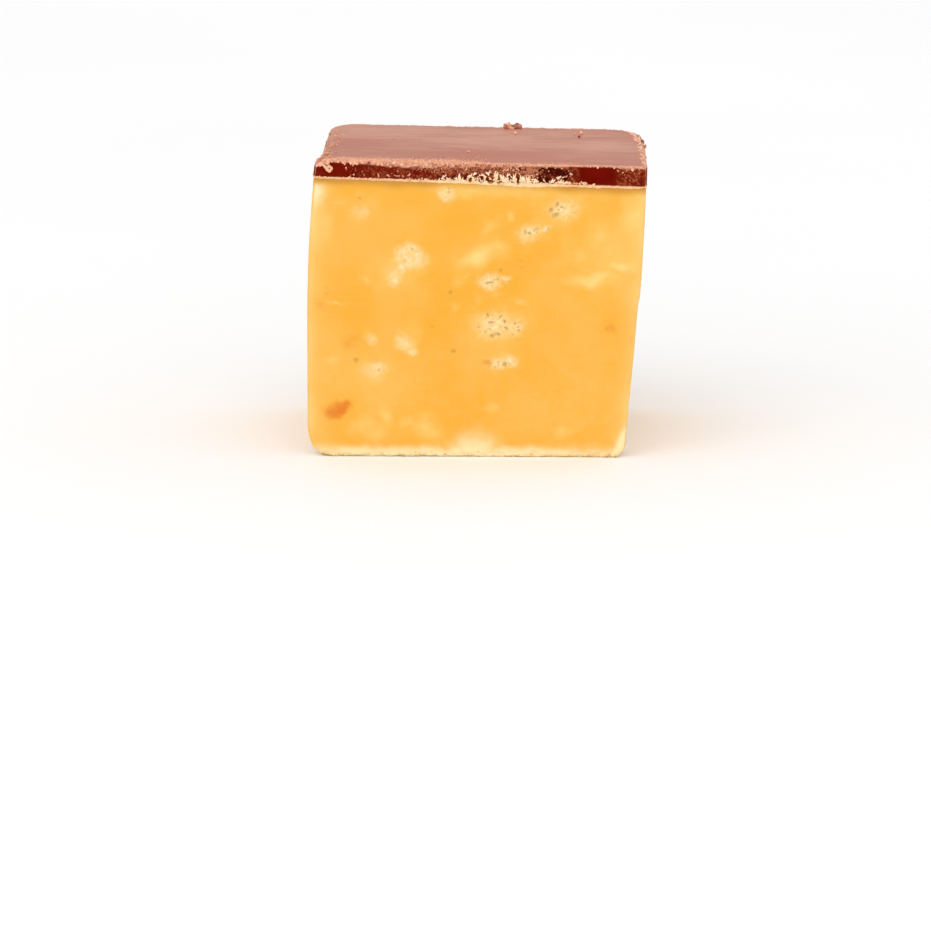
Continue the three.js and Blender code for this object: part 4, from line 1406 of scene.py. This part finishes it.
def fudge_material(fudge):
    glow = {"Subsurface_Weight": 0.3, "Subsurface_Scale": 0.6 * MM, "Subsurface_Radius": (1.0, 0.55, 0.2)}
    paint = Paint("fudge", IOR=1.3, **glow)
    red, green, blue, _ = fudge.colour
    deep = (red * 0.985, green * 0.955, blue * 0.68)
    light = (red * 1.01, green * 1.05, blue * 1.5)
    paint.colour = paint.blended(paint.ranged(paint.noise(7 * MM), 0.36, 0.66), deep, light)
    pale, cream, brown = (paint.attribute(name) for name in ("pale", "cream", "brown"))

    streaks = paint.ranged(paint.noise(0.28 * MM, 3.0, (7, 7, 1)), 0.32, 0.68)
    paint.over(streaks, 0.14, STREAK_TINT)
    paint.over(paint.ragged(paint.plus(pale, 0.06), 0.9 * MM, 0.5, 0.42), 0.8, fudge.pale)
    paint.over(paint.ranged(pale, 0.6, 1.15), 0.8, SUGAR_TINT)
    # Painted glow: paler where light comes through the thin upright edges, with a painted highlight on the
    # fold's lip.
    paint.over(paint.attribute("glow"), 0.8, EDGE_GLOW_TINT)

    # The porous spots: a darker ring of dense fudge round them, the speckled cream, and its whitest middle.
    paint.over(paint.ragged(paint.plus(cream, 0.14), 0.6 * MM, 0.4, 0.2), 0.22, DENSE_RING_TINT)
    speckle = paint.ranged(paint.noise(0.34 * MM), 0.35, 0.62, 0.55, 0.95)
    paint.over(paint.ragged(cream, 0.5 * MM, 0.45, 0.24), speckle, fudge.cream)
    white = paint.ranged(paint.noise(0.55 * MM), 0.44, 0.64)
    paint.over(paint.times(paint.ranged(cream, 0.5, 0.85), white), 0.55, WHITEST_CREAM_TINT)

    # Painted light along the foot and in the glow that rises from it, with the pale corner and the fold's
    # painted highlight.
    paint.over(paint.ragged(paint.attribute("foot"), 0.7 * MM, 0.25, 0.5), 0.92, FOOT_GLOW_TINT)
    paint.over(paint.ranged(brown, 0.05, 0.8), 0.62, STAIN_TINT)
    paint.over(paint.ragged(brown, 0.4 * MM, 0.4, 0.3), 0.75, fudge.caramel)
    paint.over(paint.ragged(paint.attribute("speck"), 0.2 * MM, 0.3, 0.3), 0.5, SPECK_TINT)
    # Painted shade inside the open bubbles.
    paint.over(paint.attribute("pit"), 0.55, BUBBLE_SHADE_TINT)
    paint.over(paint.attribute("under"), 1.1, SHADED_TINT)

    roughness = paint.ranged(paint.noise(2.5 * MM), 0.3, 0.7, 0.48, 0.62)
    drag = paint.noise(0.5 * MM, 2.0, (14, 14, 1))
    return paint.finished(roughness, paint.plus(paint.grain(0.16 * MM), paint.times(drag, 0.9)), 0.007 * MM)


def chocolate_material(chocolate, name, ior, rough):
    """The chocolate's top skin or, with a duller finish, its cut wall, alike where the two meet."""
    paint = Paint(name, IOR=ior)
    deep = [value * 0.8 for value in chocolate.colour[:3]]
    broken = paint.attribute("broken")
    paint.colour = paint.blended(paint.ranged(paint.noise(1.6 * MM, 4.0), 0.35, 0.65), deep, chocolate.colour)
    paint.over(broken, 0.45, CRUMBLED_TINT)
    speckle = paint.ranged(paint.noise(0.34 * MM, 4.0, roughness=0.65), 0.44, 0.66)
    paint.over(paint.times(paint.ranged(broken, 0.05, 0.8), speckle), 0.9, chocolate.broken)
    cut = paint.colour

    fine = paint.noise(0.35 * MM, 3.0, (5, 1.2, 1))
    bloom_and_sheen = paint.plus(paint.times(paint.noise(1.6 * MM, 4.0, (5, 1, 1)), 0.65), paint.times(fine, 0.35))
    # Painted sheen: the top goes from skin to bloom where the light mark and the bloom noise are high, and
    # turns redder and darker where the sheen is low.
    light = paint.plus(paint.attribute("light"), paint.ranged(bloom_and_sheen, 0.35, 0.65, -0.45, 0.45))
    low_sheen = paint.plus(paint.attribute("low_sheen"), paint.ranged(bloom_and_sheen, 0.35, 0.65, 0.15, -0.25))
    paint.colour = paint.blended(paint.ranged(light, -0.3, 0.95), chocolate.skin, chocolate.bloom_and_sheen)
    paint.over(low_sheen, 0.85, LOW_SHEEN_SKIN_TINT)
    paint.over(paint.ranged(paint.noise(2.6 * MM, 3.0, (1.5, 1, 1)), 0.42, 0.66), 0.22, BLOTCH_TINT)

    paint.over(paint.attribute("wall"), 1, cut)
    flecks = paint.ranged(paint.noise(0.42 * MM, 4.0, (1.6, 1, 1), 0.6), 0.4, 0.62, 0.45, 1)
    paint.over(paint.times(paint.attribute("rim"), flecks), 0.86, chocolate.crumb)
    # Painted highlight along the top edge, broken up by noise.
    worn = paint.ranged(paint.noise(0.6 * MM), 0.35, 0.6, 0.1, 0.8)
    paint.over(paint.times(paint.attribute("edge"), worn), 0.7, EDGE_HIGHLIGHT_TINT)
    # Painted shade in the gaps and gouges of the cut wall.
    paint.over(paint.attribute("hollow"), 0.92, HOLLOW_SHADE_TINT)

    roughness = paint.ranged(bloom_and_sheen, 0.35, 0.65, rough - 0.04, rough + 0.04)
    height = paint.plus(paint.times(paint.grain(0.12 * MM), 0.5), paint.times(fine, 0.4))
    return paint.finished(roughness, height, 0.005 * MM)


def crumb_material(name, tints, size):
    """Loose crumbs, each of a colour from dark over middle to light by its own tone."""
    dark, middle, light = tints
    paint = Paint(name, IOR=1.25)
    tone = paint.plus(paint.attribute("tone"), paint.ranged(paint.noise(size), 0.3, 0.7, -0.1, 0.1))
    paint.colour = paint.blended(paint.ranged(tone, 0, 0.65), dark, middle)
    paint.over(paint.ranged(tone, 0.65, 1), 1, light)
    roughness = paint.ranged(paint.noise(size * 3), 0.3, 0.7, 0.5, 0.7)
    return paint.finished(roughness, paint.grain(size * 0.5), 0.008 * MM)


# ---------------------------------------------------------------- studio


def make_floor():
    bm = bmesh.new()
    bmesh.ops.create_grid(bm, x_segments=2, y_segments=2, size=FLOOR_SIZE)
    mesh = bpy.data.meshes.new("floor")
    bm.to_mesh(mesh)
    bm.free()
    paint = Paint("floor", Roughness=0.9, IOR=1.2)
    white = paint.blended(paint.ranged(paint.noise(0.2), 0.3, 0.7), *FLOOR_TINTS)
    paint.feed(paint.shader, {"Base Color": white})
    mesh.materials.append(paint.material)
    floor = bpy.data.objects.new("floor", mesh)
    bpy.context.scene.collection.objects.link(floor)


def add_lamp(scene, name, kind, power):
    lamp = bpy.data.lights.new(name, kind)
    lamp.energy = power
    light = bpy.data.objects.new(name, lamp)
    scene.collection.objects.link(light)
    return lamp, light


def make_light(scene, studio):
    """A white sky, a broad sun overhead and a softbox at each side."""
    world = bpy.data.worlds.new("studio")
    world.use_nodes = True
    sky = world.node_tree.nodes["Background"]
    sky.inputs["Color"].default_value = (1, 1, 1, 1)
    sky.inputs["Strength"].default_value = SKY_STRENGTH
    scene.world = world
    scene.view_settings.view_transform = "Standard"
    scene.view_settings.look = "None"
    sun, light = add_lamp(scene, "overhead", "SUN", SUN_STRENGTH * studio.key)
    sun.angle = SUN_SPREAD
    light.rotation_euler = SUN_TURN
    for name, (power, place) in SOFTBOXES.items():
        lamp, light = add_lamp(scene, name, "AREA", power)
        lamp.shape = "SQUARE"
        lamp.size = SOFTBOX_SIZE
        light.location = place
        light.rotation_euler = (SOFTBOX_AIM - Vector(place)).to_track_quat("-Z", "Y").to_euler()
        light.visible_camera = False


def make_camera(scene, studio):
    """The camera looks at a point in front of the block and a little above the surface that it stands on."""
    aim = Matrix.Rotation(studio.turn, 4, "Z") @ Matrix.Rotation(math.radians(90) - studio.pitch, 4, "X")
    data = bpy.data.cameras.new("camera")
    data.sensor_width = 36
    data.lens = studio.lens
    data.clip_start, data.clip_end = 0.01, 20
    camera = bpy.data.objects.new("camera", data)
    camera.rotation_euler = aim.to_euler()
    camera.location = CAMERA_TARGET + aim @ Vector((0, 0, studio.distance))
    scene.collection.objects.link(camera)
    scene.camera = camera


# ---------------------------------------------------------------- operators


class FUDGE_OT_body(Operator):
    """Make the fudge with its cut faces, spots and open bubbles"""

    bl_idname = "fudge.body"
    bl_label = "Fudge"

    def execute(self, context):
        block = Block()
        material = fudge_material(block.fudge)
        new_piece("fudge", lambda bm: shape_fudge(bm, block), [material], replaced="fudge_body")
        return {"FINISHED"}


class FUDGE_OT_chocolate(Operator):
    """Make the chocolate layer with its broken rim"""

    bl_idname = "fudge.chocolate"
    bl_label = "Chocolate layer"

    def execute(self, context):
        block = Block()
        top = chocolate_material(block.chocolate, "chocolate_top", 1.22, 0.42)
        cut = chocolate_material(block.chocolate, "chocolate_cut", 1.03, 0.6)
        new_piece("chocolate", lambda bm: shape_chocolate(bm, block), [top, cut], replaced="chocolate_layer")
        return {"FINISHED"}


class FUDGE_OT_chocolate_crumbs(Operator):
    """Strew crumbs and shavings along the edges of the chocolate"""

    bl_idname = "fudge.chocolate_crumbs"
    bl_label = "Chocolate crumbs and shavings"

    def execute(self, context):
        block, surface = Block(), surface_of("chocolate")
        chocolate = block.chocolate
        pale_tints = chocolate.colour, chocolate.crumb, PALEST_CRUMB_TINT
        brown_tints = chocolate.colour, chocolate.broken, PALEST_CHUNK_TINT
        pale = crumb_material("chocolate_crumbs", pale_tints, 0.1 * MM)
        brown = crumb_material("chocolate_chunks", brown_tints, 0.2 * MM)
        strew("rim_crumbs", shape_rim_crumbs, block, surface, chocolate.seed, pale)
        strew("broken_chunks", shape_chunks, block, surface, chocolate.seed + 4, brown)
        strew("wall_specks", shape_specks, block, surface, chocolate.seed + 6, pale)
        strew("top_crumbs", shape_top_crumbs, block, surface, chocolate.seed + 1, pale)
        strew("shavings", shape_curls, block, surface, chocolate.seed + 2, brown)
        return {"FINISHED"}


class FUDGE_OT_fudge_crumbs(Operator):
    """Make the fudge that the knife dragged over the chocolate, and the loose fudge crumbs"""

    bl_idname = "fudge.fudge_crumbs"
    bl_label = "Fudge smear and crumbs"

    def execute(self, context):
        block = Block()
        cream = crumb_material("fudge_smear", SMEAR_TINTS, 0.15 * MM)
        crumb = crumb_material("fudge_crumbs", FUDGE_CRUMB_TINTS, 0.15 * MM)
        on_chocolate, on_fudge = surface_of("chocolate"), surface_of("fudge")
        new_piece("fudge_smear", lambda bm: shape_smear(bm, block), [cream])
        strew("fudge_tufts", shape_tufts, block, on_chocolate, block.chocolate.seed + 3, cream)
        strew("fudge_crumbs", shape_fudge_crumbs, block, on_fudge, block.fudge.seed + 5, crumb)
        return {"FINISHED"}


class FUDGE_OT_studio(Operator):
    """Make the pale floor, the soft light and the camera"""

    bl_idname = "fudge.studio"
    bl_label = "Studio"

    def execute(self, context):
        studio = context.scene.fudge_studio
        make_floor()
        make_light(context.scene, studio)
        make_camera(context.scene, studio)
        return {"FINISHED"}


class FUDGE_PT_cube(Panel):
    """Lists the steps that make the fudge cube"""

    bl_idname = "FUDGE_PT_cube"
    bl_label = "Fudge cube"
    bl_space_type = "VIEW_3D"
    bl_region_type = "UI"
    bl_category = "Fudge"

    def draw(self, context):
        layout = self.layout
        for step in STEPS:
            layout.operator(step.bl_idname)
        for name in GROUPS:
            group, box = getattr(context.scene, name), layout.box()
            for key in group.bl_rna.properties.keys():
                if key not in ("rna_type", "name"):
                    box.prop(group, key)


STEPS = (FUDGE_OT_body, FUDGE_OT_chocolate, FUDGE_OT_chocolate_crumbs, FUDGE_OT_fudge_crumbs, FUDGE_OT_studio)
GROUPS = {
    "fudge_cube": FudgeSettings, "fudge_chocolate": ChocolateSettings, "fudge_studio": StudioSettings,
}


def register():
    for name, group in GROUPS.items():
        bpy.utils.register_class(group)
        setattr(bpy.types.Scene, name, PointerProperty(type=group))
    for kind in (*STEPS, FUDGE_PT_cube):
        bpy.utils.register_class(kind)


def unregister():
    for kind in reversed((*STEPS, FUDGE_PT_cube)):
        bpy.utils.unregister_class(kind)
    for name, group in GROUPS.items():
        delattr(bpy.types.Scene, name)
        bpy.utils.unregister_class(group)


def main():
    register()
    bpy.ops.fudge.studio()
    bpy.ops.fudge.body()
    bpy.ops.fudge.chocolate()
    bpy.ops.fudge.chocolate_crumbs()
    bpy.ops.fudge.fudge_crumbs()


if __name__ == "__main__":
    main()
